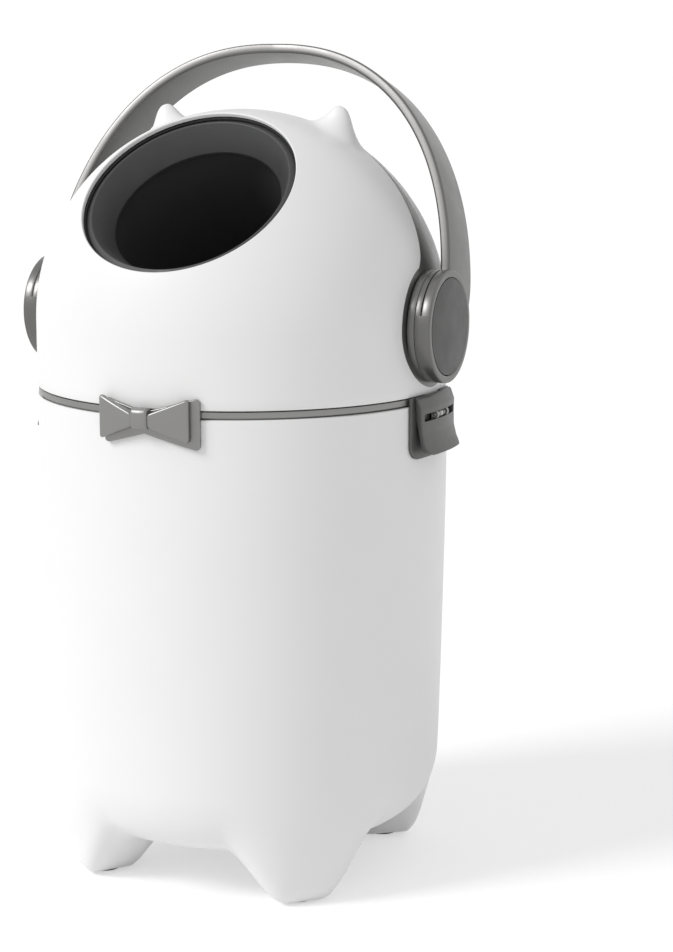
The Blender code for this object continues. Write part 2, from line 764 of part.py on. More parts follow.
def make_side_of_handle(side, across):
    facing = (0, across * math.pi / 2, 0)
    flange_face = math.sqrt(lap_inner ** 2 - axle_flange_radius ** 2) - 2 * fit_gap
    flange_back = flange_face - axle_flange_thickness
    end = hub_inner_face - fit_gap
    screw_bore = screw_radius + fit_gap
    screw_tip = screw_seat + fit_gap - screw_length
    axle = [(0, screw_tip - fit_gap), (screw_bore, screw_tip - fit_gap), (screw_bore, end), (axle_radius, end),
            (axle_radius, flange_face), (axle_flange_radius, flange_face), (axle_flange_radius, flange_back),
            (0, flange_back)]
    add_part(f"axle_{side}", turned_mesh("axle", axle, small_steps, closed=False), pale_nylon, handle_axis, facing)

    head_bore = screw_head_radius + fit_gap
    cap_seat = cap_radius + fit_gap
    hub = [(hub_radius - hub_edge, hub_outer_face), (hub_radius, hub_outer_face - hub_edge),
           (hub_radius, hub_inner_face + hub_edge), (hub_radius - hub_edge, hub_inner_face),
           (screw_bore, hub_inner_face), (screw_bore, screw_seat), (head_bore, screw_seat), (head_bore, seat_floor),
           (cap_seat, seat_floor), (cap_seat, hub_outer_face)]
    hub_part = add_part(f"hub_{side}", turned_mesh("hub", hub, hub_steps), silver_grey, handle_axis, facing)
    reach = hub_radius + overrun
    split = hub_split - fit_gap
    strap_back = [arch_point(math.radians(angle), strap_thickness + 2 * fit_gap) for angle in strap_back_angles]
    outer = hub_outer_face + overrun
    room = [(split, -fit_gap), (split, strap_back[0][1] / 2)] + strap_back
    room += [(outer, strap_back[-1][1]), (outer, -fit_gap)]
    room_mesh = prism_mesh("strap_room", [(across * x, z) for x, z in room], "y", -reach, reach)
    boolean(hub_part, add_cutter(f"strap_room_{side}", room_mesh, handle_axis))

    cap = [(0, hub_outer_face), (cap_radius - hub_edge / 2, hub_outer_face),
           (cap_radius, hub_outer_face - hub_edge / 2), (cap_radius, seat_floor + fit_gap), (0, seat_floor + fit_gap)]
    cap_mesh = turned_mesh("hub_cap", cap, hub_steps, closed=False)
    add_part(f"hub_cap_{side}", cap_mesh, silver_grey, handle_axis, facing)

    head_top = screw_seat + fit_gap + screw_head_height
    screw = [(0, head_top), (screw_head_radius, head_top), (screw_head_radius, screw_seat + fit_gap),
             (screw_radius, screw_seat + fit_gap), (screw_radius, screw_tip), (0, screw_tip)]
    screw_mesh = turned_mesh("hub_screw", screw, screw_steps, closed=False)
    add_part(f"hub_screw_{side}", screw_mesh, bright_steel, handle_axis, facing)


def arch_point(angle, inset=0.0):
    """Across and up on the arch's outline, for an angle from one hub over the top to the other."""
    power = 2 / arch_power
    across = math.copysign(abs(math.cos(angle)) ** power, math.cos(angle))
    return (hub_outer_face - inset) * across, (handle_rise - inset) * abs(math.sin(angle)) ** power


def strap_edges(rise):
    """The strap's front and rear edge behind its axis: it spreads and flares towards the hubs."""
    up = min(1, rise / handle_rise)
    root = max(0, 1 - rise / hub_radius) ** 2
    half = strap_half_width + strap_spread * math.sqrt(1 - up) + strap_root_flare * root
    middle = strap_setback * (1 - root)
    return middle - half, middle + half


def make_handle():
    start = math.radians(strap_start)
    rows = []
    for step in range(arch_steps + 1):
        angle = blend(start, math.pi - start, step / arch_steps)
        outer = arch_point(angle)
        inner = arch_point(angle, strap_thickness)
        front, rear = strap_edges(outer[1])
        towards = (Vector(inner) - Vector(outer)).normalized() * strap_edge
        section = [
            (outer, rear - strap_edge, 0), (outer, rear, 1), (inner, rear, -1), (inner, rear - strap_edge, 0),
            (inner, front + strap_edge, 0), (inner, front, -1), (outer, front, 1), (outer, front + strap_edge, 0),
        ]
        rows.append([(x + towards.x * pull, depth, z + towards.y * pull) for (x, z), depth, pull in section])
    form = bmesh.new()
    grid = [[form.verts.new(point) for point in row] for row in rows]
    for row, after in zip(grid, grid[1:]):
        for index in range(len(row)):
            turn = (index + 1) % len(row)
            form.faces.new((row[index], row[turn], after[turn], after[index]))
    form.faces.new(grid[0])
    form.faces.new(grid[-1])
    bmesh.ops.triangulate(form, faces=form.faces)
    handle = add_part("handle_arch", mesh_from(form, "handle_arch"), silver_grey, handle_axis)
    for side, across in sides:
        half_disc = arc((0, 0), hub_radius, 0, math.pi, hub_steps // 2)
        boolean(handle, side_prism(f"strap_end_{side}", half_disc, across, hub_split, hub_outer_face), "UNION")
    for side, across in sides:
        seat = circle(cap_radius + fit_gap, hub_steps)
        boolean(handle, side_prism(f"cap_seat_{side}", seat, across, seat_floor, hub_outer_face + overrun))
        hole = circle(screw_head_radius + fit_gap, screw_steps)
        through = (hub_split - overrun, hub_outer_face + overrun)
        boolean(handle, side_prism(f"screw_hole_{side}", hole, across, *through))


for side_name, side_sign in sides:
    make_side_of_handle(side_name, side_sign)
make_handle()


# Side latches, modelled flat and bent round the bin
latch_top = collar_top
pin_height = latch_top - window_drop - window_height / 2
pin_distance = seam_radius + pin_standoff


def flat_object(name, mesh):
    holder = bpy.data.objects.new(name, mesh)
    cutters.objects.link(holder)
    return holder


def cut_flat(target, name, mesh, operation="DIFFERENCE"):
    """Cut or join a flat panel with a helper, and give the target its new mesh."""
    helper = flat_object(name, mesh)
    boolean(target, helper, operation)
    result = baked(target)
    bpy.data.objects.remove(helper, do_unlink=True)
    return flat_object(name + "_done", result)


def straight_bore(name):
    circle = arc((pin_distance, pin_height), pin_radius + pin_clearance, 0, 2 * math.pi, screw_steps)[:-1]
    return prism_mesh(name, circle, "y", -pin_half_length - overrun, pin_half_length + overrun)


def latch_base_mesh():
    bottom = latch_top - latch_height
    corners = [(-latch_half_width, bottom), (latch_half_width, bottom), (latch_half_width, latch_top),
               (-latch_half_width, latch_top)]
    plate = flat_object("latch_plate", prism_mesh("latch_plate", square_top(corners, latch_corner), "x",
                                                  fit_gap, fit_gap + latch_plate))
    notch_half = catch_half_width + 2 * fit_gap
    notch = box_mesh("notch", (-overrun, -notch_half, collar_bottom - 2 * fit_gap),
                     (latch_plate + overrun, notch_half, latch_top + overrun))
    plate = cut_flat(plate, "latch_plate", notch)
    mesh = bent_mesh(baked(plate), latch_half_width, bend_steps)
    body = flat_object("latch_body", mesh)
    root = seam_radius + fit_gap + latch_plate / 2
    for index, place in enumerate((-knuckle_offset, knuckle_offset)):
        outline = [(root, pin_height - knuckle_radius)]
        outline += arc((pin_distance, pin_height), knuckle_radius, -math.pi / 2, math.pi / 2, 8)
        outline += [(root, pin_height + knuckle_radius)]
        knuckle = prism_mesh("knuckle", outline, "y", place - knuckle_half_width, place + knuckle_half_width)
        body = cut_flat(body, f"knuckle_{index}", knuckle, "UNION")
    body = cut_flat(body, "pin_bore", straight_bore("pin_bore"))
    return baked(body)


def square_top(corners, radius):
    """Round the two lower corners of a panel and keep its top corners."""
    lower = rounded(corners, radius)
    middle = (corners[0][1] + corners[2][1]) / 2
    return [point for point in lower if point[1] < middle] + [corners[2], corners[3]]


def latch_lever_mesh():
    top, bottom = latch_top, latch_top - lever_height
    crease, flare = top - lever_crease, top - lever_flare_start
    inner = [(lever_standoff - lever_top_setback, top), (lever_standoff, crease), (lever_standoff, flare),
             (lever_foot_standoff, bottom)]
    outer = [(stand + lever_thickness, height) for stand, height in inner]
    lever = flat_object("lever", prism_mesh("lever", outer + inner[::-1], "y", -lever_half_width, lever_half_width))
    corners = [(-lever_foot_half_width, bottom), (lever_foot_half_width, bottom), (lever_half_width, top),
               (-lever_half_width, top)]
    front = prism_mesh("lever_front", square_top(corners, lever_corner), "x", 0, lever_foot_standoff + 2 * overrun)
    lever = cut_flat(lever, "lever_front", front, "INTERSECT")
    window = box_mesh("window", (0, -window_half_width, top - window_drop - window_height),
                      (lever_foot_standoff, window_half_width, top - window_drop))
    lever = cut_flat(lever, "lever_window", window)
    tooth_top = top - tooth_drop
    tooth = box_mesh("tooth", (0, -tooth_half_width, tooth_top - tooth_height),
                     (lever_standoff, tooth_half_width, tooth_top))
    lever = cut_flat(lever, "lever_tooth", tooth, "UNION")
    lug_back = fit_gap + latch_plate + lug_clearance
    for index, place in enumerate((-lug_offset, lug_offset)):
        lug = box_mesh("lug", (lug_back, place - lug_half_width, pin_height - lug_half_height),
                       (lever_standoff + lever_thickness, place + lug_half_width, pin_height + lug_half_height))
        lever = cut_flat(lever, f"lever_lug_{index}", lug, "UNION")
    bent = flat_object("lever_bent", bent_mesh(baked(lever), lever_half_width, bend_steps))
    return baked(cut_flat(bent, "lever_bore", straight_bore("lever_bore")))


def spring_mesh():
    """A torsion spring wound round the pin, with a leg up and a leg down behind the lever."""
    curve = bpy.data.curves.new("latch_spring", "CURVE")
    curve.dimensions = "3D"
    curve.bevel_depth = spring_wire
    curve.bevel_resolution = 2
    curve.use_fill_caps = True
    per_turn = 8
    points = [(-spring_coil_radius, -spring_half_width, -spring_leg)]
    for step in range(per_turn * spring_turns + 1):
        angle = math.pi - 2 * math.pi * step / per_turn
        along = blend(-spring_half_width, spring_half_width, step / (per_turn * spring_turns))
        points.append((spring_coil_radius * math.cos(angle), along, spring_coil_radius * math.sin(angle)))
    points.append((-spring_coil_radius, spring_half_width, spring_leg))
    spline = curve.splines.new("POLY")
    spline.points.add(len(points) - 1)
    for point, place in zip(spline.points, points):
        point.co = (*place, 1)
    holder = bpy.data.objects.new("latch_spring", curve)
    cutters.objects.link(holder)
    mesh = baked(holder)
    form = bmesh.new()
    form.from_mesh(mesh)
    bmesh.ops.remove_doubles(form, verts=form.verts, dist=spring_wire / 100)
    return mesh_from(form, "latch_spring")


def make_latches():
    base, lever, spring = latch_base_mesh(), latch_lever_mesh(), spring_mesh()
    pin_outline = [(0, pin_half_length), (pin_radius, pin_half_length), (pin_radius, -pin_half_length),
                   (0, -pin_half_length)]
    pin = turned_mesh("latch_pin", pin_outline, screw_steps, closed=False)
    for side, across in sides:
        turn = (0, 0, 0 if across > 0 else math.pi)
        on_axis = (across * pin_distance, 0, pin_height)
        lever_copy = lever.copy()
        lever_copy.transform(Matrix.Translation((-pin_distance, 0, -pin_height)))
        add_part(f"latch_base_{side}", base.copy(), silver_grey, bin_axis, turn)
        add_part(f"latch_lever_{side}", lever_copy, silver_grey, bin_axis, turn, on_axis)
        add_part(f"latch_pin_{side}", pin.copy(), bright_steel, bin_axis, (math.pi / 2, 0, 0), on_axis)
        add_part(f"latch_spring_{side}", spring.copy(), bright_steel, bin_axis, turn, on_axis)


make_latches()


# Bow clipped over the front of the collar
def bow_outline(half_width, half_height, waist):
    """Both wings and the waist between them, in (X, Z) about the bow's middle."""
    above = [(half_width, half_height), (0, waist), (-half_width, half_height)]
    below = [(x, -z) for x, z in reversed(above)]
    return rounded(above + below, bow_corner)


def raised(outline):
    return [(x, z + seam_middle) for x, z in outline]


def make_bow_clip():
    front = -seam_radius - bow_clip_reach
    outline = raised(bow_outline(bow_half_width, bow_half_height, bow_waist))
    curve_depth = seam_radius - math.sqrt(seam_radius ** 2 - bow_half_width ** 2)
    mesh = prism_mesh("bow_clip", outline, "y", front, -seam_radius + curve_depth + overrun)
    clip = add_part("bow_clip", mesh, silver_grey, bin_axis, smooth=False)
    seat = seam_radius + fit_gap
    above, below = collar_top + bow_half_height + overrun, collar_bottom - bow_half_height - overrun
    body = [(0, above), (seat, above), (seat, below), (0, below)]
    boolean(clip, add_cutter("bow_seat", turned_mesh("bow_seat", body, 2 * round_steps, closed=False), bin_axis))
    spare = bow_slot_spare
    slot = [(seam_radius + bow_slot_depth, collar_top + spare), (seam_radius + bow_slot_depth, collar_bottom - spare),
            (seam_radius - wall, collar_bottom - spare), (seam_radius - wall, collar_top + spare)]
    boolean(clip, add_cutter("bow_slot", turned_mesh("bow_slot", slot, 2 * round_steps), bin_axis))


def make_bow_wings():
    """Each wing's cover stands on the clip, with a bevelled front edge."""
    back = -seam_radius - bow_clip_reach - fit_gap
    front = -seam_radius - bow_wing_reach
    outer = bow_half_width - bow_wing_inset
    root = knot_half_width + fit_gap
    slope = (bow_half_height - bow_waist) / bow_half_width
    root_height = bow_waist + slope * root - bow_wing_inset / 2
    outer_height = bow_half_height - bow_wing_inset / 2
    for side, across in sides:
        corners = [(root, root_height), (root, -root_height), (outer, -outer_height), (outer, outer_height)]
        outline = raised([(across * x, z) for x, z in rounded(corners, bow_corner)])
        mesh = prism_mesh("bow_wing", outline, "y", front, back)
        wing = add_part(f"bow_wing_{side}", mesh, silver_grey, bin_axis, smooth=False)
        edge = wing.modifiers.new("soft_edge", "BEVEL")
        edge.width = bow_bevel
        edge.segments = 2
        edge.angle_limit = bevel_from_angle


def make_bow_knot():
    """A strap over the waist of the bow: flat back, bulging front."""
    back = -seam_radius - bow_clip_reach - fit_gap
    bulge = knot_reach - bow_clip_reach
    outline = []
    for step in range(knot_steps + 1):
        angle = math.pi * step / knot_steps
        out = math.sin(angle) ** knot_fullness
        outline.append((back - bulge * out, knot_half_height * math.cos(angle)))
    outline = [(y, z + seam_middle) for y, z in outline]
    mesh = prism_mesh("bow_knot", outline, "x", -knot_half_width, knot_half_width)
    knot = add_part("bow_knot", mesh, silver_grey, bin_axis)
    edge = knot.modifiers.new("soft_edge", "BEVEL")
    edge.width = bow_bevel
    edge.segments = 2
    edge.angle_limit = bevel_from_angle


make_bow_clip()
make_bow_wings()
make_bow_knot()
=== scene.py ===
import math

import bmesh
import bpy
import numpy as np
from mathutils import Matrix, Vector


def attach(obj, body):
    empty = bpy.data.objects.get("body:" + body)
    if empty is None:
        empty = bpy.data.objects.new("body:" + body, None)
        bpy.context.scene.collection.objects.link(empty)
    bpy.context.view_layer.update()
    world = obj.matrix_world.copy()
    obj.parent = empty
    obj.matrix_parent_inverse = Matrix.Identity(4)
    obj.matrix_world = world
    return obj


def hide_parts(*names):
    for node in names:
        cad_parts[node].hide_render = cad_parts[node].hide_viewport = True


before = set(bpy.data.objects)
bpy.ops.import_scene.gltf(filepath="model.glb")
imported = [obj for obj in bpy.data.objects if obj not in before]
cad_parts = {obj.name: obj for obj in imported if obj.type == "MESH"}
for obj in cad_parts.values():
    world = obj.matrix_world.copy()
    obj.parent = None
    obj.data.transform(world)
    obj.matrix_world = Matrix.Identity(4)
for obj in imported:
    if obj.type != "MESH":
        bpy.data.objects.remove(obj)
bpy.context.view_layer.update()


# Bin body: one deep white moulding in satin polypropylene. The wall draws in a little towards the
# bottom, where it turns under into a belly with four blunt feet. It carries everything else.
axis_setback = 0.00925
seam_radius = 0.150
shell_wall = 0.003
body_height = 0.3546
wall_draw = 0.0045
shoulder_height = 0.095
belly_height = 0.037
belly_flat_radius = 0.098
foot_centre = 0.079
foot_flat = 0.0135
foot_flat_angle, foot_blend_angle = math.radians(6), math.radians(27)
sole_height = 0.0017
rim_round = 0.0007
straight_share, halfway_share = 0.2, 0.45
belly_fullness, belly_steps = 0.85, 8
bin_frame = Matrix.Translation((0, axis_setback, 0))


def mixed(a, b, share):
    return a + (b - a) * share


def grid_mesh(name, rows, ring=True, loop=False, first_cap=False, last_cap=False):
    """Rows of points, joined row to row. A ring joins last column to first, a loop last row to first."""
    rows = [np.asarray(row, dtype=float) for row in rows]
    count, across = len(rows), len(rows[0])
    points = np.concatenate(rows)
    faces = []
    for row in range(count if loop else count - 1):
        here, there = row * across, (row + 1) % count * across
        for column in range(across if ring else across - 1):
            after = (column + 1) % across
            faces.append((here + column, there + column, there + after, here + after))
    if first_cap:
        faces.append(tuple(range(across)))
    if last_cap:
        faces.append(tuple(range((count - 1) * across, count * across))[::-1])
    mesh = bpy.data.meshes.new(name)
    mesh.from_pydata(points.tolist(), [], faces)
    form = bmesh.new()
    form.from_mesh(mesh)
    bmesh.ops.remove_doubles(form, verts=form.verts, dist=1e-6)
    bmesh.ops.dissolve_degenerate(form, edges=form.edges, dist=1e-7)
    bmesh.ops.recalc_face_normals(form, faces=form.faces)
    form.to_mesh(mesh)
    form.free()
    return mesh


def add_piece(name, mesh, place, material, body, slot, *nodes, sharp=32):
    """Puts a piece in its place, gives it its finish and hides the CAD nodes it stands for."""
    mesh.transform(place.to_3x3().to_4x4())
    piece = bpy.data.objects.new(name, mesh)
    bpy.context.scene.collection.objects.link(piece)
    piece.location = place.translation
    mesh.materials.append(material)
    mesh.shade_smooth()
    mesh.set_sharp_from_angle(angle=math.radians(sharp))
    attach(piece, body)
    if nodes:
        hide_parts(*nodes)
    return piece


def plastic(name, colour, deep, rough, rough_spread, grain_scale, grain_depth, metallic=0.0):
    """Moulded plastic: cloudy colour within a narrow range, uneven gloss, and a fine grain."""
    material = bpy.data.materials.new(name)
    material.use_nodes = True
    nodes, links = material.node_tree.nodes, material.node_tree.links
    shader = nodes["Principled BSDF"]
    shader.inputs["Metallic"].default_value = metallic
    where = nodes.new("ShaderNodeTexCoord")
    cloud = nodes.new("ShaderNodeTexNoise")
    cloud.inputs["Scale"].default_value = 14.0
    cloud.inputs["Detail"].default_value = 3.0
    links.new(where.outputs["Object"], cloud.inputs["Vector"])
    tone = nodes.new("ShaderNodeMix")
    tone.data_type = "RGBA"
    tone.inputs["A"].default_value = (*deep, 1)
    tone.inputs["B"].default_value = (*colour, 1)
    links.new(cloud.outputs["Fac"], tone.inputs["Factor"])
    links.new(tone.outputs["Result"], shader.inputs["Base Color"])
    gloss = nodes.new("ShaderNodeMapRange")
    gloss.inputs["From Min"].default_value = 0.3
    gloss.inputs["From Max"].default_value = 0.7
    gloss.inputs["To Min"].default_value = rough - rough_spread
    gloss.inputs["To Max"].default_value = rough + rough_spread
    smear = nodes.new("ShaderNodeTexNoise")
    smear.inputs["Scale"].default_value = 60.0
    links.new(where.outputs["Object"], smear.inputs["Vector"])
    links.new(smear.outputs["Fac"], gloss.inputs["Value"])
    links.new(gloss.outputs["Result"], shader.inputs["Roughness"])
    grain = nodes.new("ShaderNodeTexNoise")
    grain.inputs["Scale"].default_value = grain_scale
    grain.inputs["Detail"].default_value = 2.0
    links.new(where.outputs["Object"], grain.inputs["Vector"])
    bump = nodes.new("ShaderNodeBump")
    bump.inputs["Strength"].default_value = grain_depth
    bump.inputs["Distance"].default_value = 0.0002
    links.new(grain.outputs["Fac"], bump.inputs["Height"])
    links.new(bump.outputs["Normal"], shader.inputs["Normal"])
    return material


white_satin = plastic("white_satin_plastic", (0.87, 0.87, 0.868), (0.845, 0.845, 0.845), 0.40, 0.04,
                      1500.0, 0.10)


def smooth_rows(rows, between):
    """More rows through the given ones, without overshoot."""
    rows = np.asarray(rows, dtype=float)
    step = np.diff(rows, axis=0)
    before, after = step[:-1], step[1:]
    total = before + after
    same = before * after > 0
    slope = np.zeros_like(rows)
    slope[1:-1] = np.where(same, 2 * before * after / np.where(total == 0, 1, total), 0)
    slope[0], slope[-1] = step[0], step[-1]
    result = []
    for index in range(len(rows) - 1):
        for part in range(between):
            t = part / between
            leave, arrive = t ** 3 - 2 * t ** 2 + t, t ** 3 - t ** 2
            result.append((2 * t ** 3 - 3 * t ** 2 + 1) * rows[index] + leave * slope[index]
                          + (3 * t ** 2 - 2 * t ** 3) * rows[index + 1] + arrive * slope[index + 1])
    result.append(rows[-1])
    return result


body_columns = 288
body_turn = 2 * np.pi * np.arange(body_columns) / body_columns
from_foot = np.abs(body_turn % (np.pi / 2) - np.pi / 4)
foot_share = np.clip((from_foot - foot_flat_angle) / (foot_blend_angle - foot_flat_angle), 0, 1)
foot_share = 1 - foot_share ** 2 * (3 - 2 * foot_share)

shoulder_radius = seam_radius - wall_draw
foot_radius = foot_centre * math.sqrt(2)
foot_out, foot_in = foot_radius + foot_flat, foot_radius - foot_flat
foot_side_shares = ((0.95, 0.76), (0.84, 0.53), (0.64, 0.29), (0.48, 0.13), (0.26, 0.035))
foot_inside_shares = ((0.93, 0.08), (0.84, 0.35), (0.74, 0.68), (0.62, 0.91), (0.48, 1.0))
foot_line = [(mixed(foot_out, shoulder_radius, out), mixed(sole_height, shoulder_height, up))
             for out, up in foot_side_shares]
foot_line += [(foot_out, sole_height), (foot_in, sole_height)]
foot_line += [(foot_in * out, mixed(sole_height, belly_height, up))
              for out, up in foot_inside_shares]
belly_line = []
for step in range(1, belly_steps + 1):
    turn = math.pi / 2 * step / belly_steps
    out, down = max(0, math.cos(turn)) ** belly_fullness, math.sin(turn) ** belly_fullness
    belly_line.append((mixed(belly_flat_radius, shoulder_radius, out),
                       mixed(shoulder_height, belly_height, down)))
belly_line += [(foot_in * out, belly_height) for out, up in foot_inside_shares[1:]]

straight_height = body_height - (body_height - shoulder_height) * straight_share
wall_line = [(seam_radius - rim_round, body_height), (seam_radius, body_height - rim_round),
             (seam_radius, straight_height),
             (seam_radius - wall_draw * halfway_share,
              mixed(shoulder_height, straight_height, halfway_share)),
             (seam_radius - wall_draw, shoulder_height)]
lines = [np.column_stack((np.full(body_columns, r), np.full(body_columns, z))) for r, z in wall_line]
for (belly_r, belly_z), (foot_r, foot_z) in zip(belly_line, foot_line):
    lines.append(np.column_stack((mixed(belly_r, foot_r, foot_share), mixed(belly_z, foot_z, foot_share))))
body_rows = [lines[0]] + smooth_rows(lines[1:], 6)
body_points = [np.column_stack((row[:, 0] * np.cos(body_turn), row[:, 0] * np.sin(body_turn), row[:, 1]))
               for row in body_rows]
body_piece = add_piece("bin_body_shell", grid_mesh("bin_body_shell", body_points, last_cap=True), bin_frame,
                       white_satin, "base", "white_shell", "bin_body")
body_wall = body_piece.modifiers.new("wall", "SOLIDIFY")
body_wall.thickness = shell_wall
body_wall.offset = -1


# Foot pads: four discs cut from black rubber, one stuck under each sole. They keep the bin from
# sliding on a hard floor.
pad_radius, pad_thickness, pad_edge = 0.0115, 0.0014, 0.0004
black_rubber = plastic("black_rubber", (0.022, 0.022, 0.023), (0.014, 0.014, 0.015), 0.72, 0.08, 2200.0, 0.35)


def soft_corners(outline, radius, steps=3, closed=True):
    """An outline with every real corner rounded; a short side limits its corners' radius."""
    result = []
    count = len(outline)
    for index in range(count):
        here = Vector(outline[index])
        if not closed and index in (0, count - 1):
            result.append(tuple(here))
            continue
        before = Vector(outline[index - 1]) - here
        after = Vector(outline[(index + 1) % count]) - here
        if before.length < 1e-7 or after.length < 1e-7 or before.angle(after) > math.radians(168):
            result.append(tuple(here))
            continue
        half = before.angle(after) / 2
        reach = min(radius / math.tan(half), before.length * 0.45, after.length * 0.45)
        middle = here + (before.normalized() + after.normalized()).normalized() * (reach / math.cos(half))
        start, end = here + before.normalized() * reach - middle, here + after.normalized() * reach - middle
        first = math.atan2(start.y, start.x)
        turn = math.remainder(math.atan2(end.y, end.x) - first, 2 * math.pi)
        size = start.length
        for step in range(steps + 1):
            angle = first + turn * step / steps
            result.append((middle.x + size * math.cos(angle), middle.y + size * math.sin(angle)))
    return result


def turned(name, outline, steps=160, closed=True, start=0.0, sweep=2 * math.pi):
    """Turns an outline of (radius, height) round Z, all the way or through a sweep with flat ends."""
    whole = sweep > 2 * math.pi - 1e-6
    angles = start + sweep * np.arange(steps if whole else steps + 1) / steps
    rows = [[(r * math.cos(a), r * math.sin(a), h) for r, h in outline] for a in angles]
    return grid_mesh(name, rows, ring=closed, loop=whole, first_cap=not whole, last_cap=not whole)


pad_outline = soft_corners([(0, pad_thickness), (pad_radius, pad_thickness), (pad_radius, 0), (0, 0)],
                           pad_edge, closed=False)
for end, along in (("front", -1), ("rear", 1)):
    for side, across in (("left", -1), ("right", 1)):
        place = bin_frame @ Matrix.Translation((across * foot_centre, along * foot_centre, 0))
        add_piece(f"pad_{end}_{side}", turned("pad", pad_outline, 48, closed=False), place, black_rubber,
                  "base", "soft_rubber", f"foot_pad_{end}_{side}")


# Collar ring: silver-grey moulding clipped on the body's rim, seen as a thin band in the seam. A fine
# dark joint shows above and below it. The head's catches drop into a notch on either side.
fit_gap = 0.0003
collar_bottom = body_height + fit_gap
collar_top = collar_bottom + 0.0055
collar_radius = seam_radius - 0.0008
collar_rise, collar_drop, collar_wall, collar_edge = 0.006, 0.010, 0.0035, 0.0004
catch_half_width = 0.012
notch_floor = 0.0002
groove = 0.0006
# This grey on the ring, bow, lugs and knuckles is a lighter copy of the one silver-grey plastic, raised for
# the lamp's light on the front: painted light.
silver_grey = plastic("silver_grey_plastic", (0.275, 0.272, 0.268), (0.245, 0.243, 0.239), 0.36, 0.04,
                      2600.0, 0.08, metallic=0.8)
lip = seam_radius - shell_wall - fit_gap
collar_in = lip - collar_wall
collar_outline = soft_corners([
    (lip, collar_top + collar_rise), (lip, collar_top - groove), (collar_radius, collar_top - groove),
    (collar_radius, collar_bottom + groove), (lip, collar_bottom + groove),
    (lip, collar_bottom - collar_drop), (collar_in, collar_bottom - collar_drop),
    (collar_in, collar_top + collar_rise)], collar_edge)
collar_rows = []
for angle in 2 * np.pi * np.arange(320) / 320:
    notched = abs(seam_radius * math.sin(angle)) < catch_half_width + fit_gap
    reach = lip + notch_floor if notched else seam_radius
    collar_rows.append([(min(r, reach) * math.cos(angle), min(r, reach) * math.sin(angle), h)
                        for r, h in collar_outline])
add_piece("collar_band", grid_mesh("collar_band", collar_rows, loop=True), bin_frame, silver_grey, "base",
          "silver_grey", "collar_ring")


# Bag ring: a loose hoop moulded in pale nylon. The bag's edge is folded over it, and it rests on the
# collar's upper edge with its skirt inside.
bag_seat = collar_top + collar_rise + fit_gap
bag_in = collar_in - fit_gap
bag_skirt, bag_wall, bag_edge = 0.0125, 0.002, 0.0005
pale_nylon = plastic("pale_nylon", (0.70, 0.70, 0.675), (0.66, 0.66, 0.64), 0.42, 0.05, 1800.0, 0.15)
bag_outline = soft_corners([
    (lip, bag_seat + bag_wall), (lip, bag_seat), (bag_in, bag_seat), (bag_in, bag_seat - bag_skirt),
    (bag_in - bag_wall, bag_seat - bag_skirt), (bag_in - bag_wall, bag_seat + bag_wall)], bag_edge)
add_piece("bag_hoop", turned("bag_hoop", bag_outline, 200), bin_frame, pale_nylon, "base", "pale_nylon",
          "bag_ring")


# Head shell: the white dome that lifts off. Its round opening is tilted to the front, and two small
# ears are moulded into the back of the crown. A catch hangs from the rim over each side latch.
pivot_height = collar_top + 0.0476
head_bottom = collar_top + fit_gap
opening_tilt = math.radians(41.3)
opening_radius = 0.0776
ear_offset, ear_setback, ear_height, ear_radius = 0.068, 0.018, 0.0192, 0.0275
ear_lean, ear_depth_share = math.radians(12), 0.85
ear_shares = ((0.0, 1.03), (0.11, 1.0), (0.19, 0.93), (0.27, 0.78), (0.36, 0.56), (0.48, 0.32), (0.66, 0.10),
              (0.86, 0.01), (1.0, 0.0))
ear_floor = -0.05
ear_samples, ear_smoothing = 221, 19
pivot_frame = bin_frame @ Matrix.Translation((0, 0, pivot_height))
chute_frame = pivot_frame @ Matrix.Rotation(opening_tilt, 4, "X")
head_columns = 480
head_turn = 2 * np.pi * np.arange(head_columns) / head_columns
level_ring = np.column_stack((np.cos(head_turn), np.sin(head_turn), np.zeros(head_columns)))
tilt = np.array(Matrix.Rotation(opening_tilt, 3, "X"))


def opening_ring(radius, height):
    ring = level_ring * radius
    ring[:, 2] = height
    return ring @ tilt.T


def dome_rows(radius, first_ring, steps):
    """Rows over the ball from a ring round the opening down to the level of the handle's axis."""
    start = first_ring / np.linalg.norm(first_ring, axis=1)[:, None]
    wide = np.arccos(np.clip(np.sum(start * level_ring, axis=1), -1, 1))[:, None]
    return [radius * (np.sin((1 - s) * wide) * start + np.sin(s * wide) * level_ring) / np.sin(wide)
            for s in (step / steps for step in range(steps + 1))]


def with_ears(points):
    """Raises the two ears out of the crown; each foot runs out smoothly into the dome."""
    ear_out = [share * ear_radius for share, up in ear_shares]
    ear_up = [up * ear_height for share, up in ear_shares]
    fine = np.linspace(-ear_radius * 1.1, ear_radius * 1.1, ear_samples)
    weights = np.hanning(ear_smoothing)[1:-1]
    bell = np.pad(np.interp(np.abs(fine), ear_out, ear_up), len(weights) // 2, mode="edge")
    bell = np.convolve(bell, weights / weights.sum(), mode="valid")
    points = points.copy()
    for across in (-1, 1):
        along = np.array((across * math.sin(ear_lean), 0, math.cos(ear_lean)))
        rise = math.sqrt(seam_radius ** 2 - ear_offset ** 2 - ear_setback ** 2)
        away = points - (across * ear_offset, ear_setback, rise)
        up = away @ along
        flat = away - up[:, None] * along
        flat[:, 1] /= ear_depth_share
        lift = np.interp(np.linalg.norm(flat, axis=1), fine, bell)
        points += (lift * (up > ear_floor))[:, None] * along
    return points


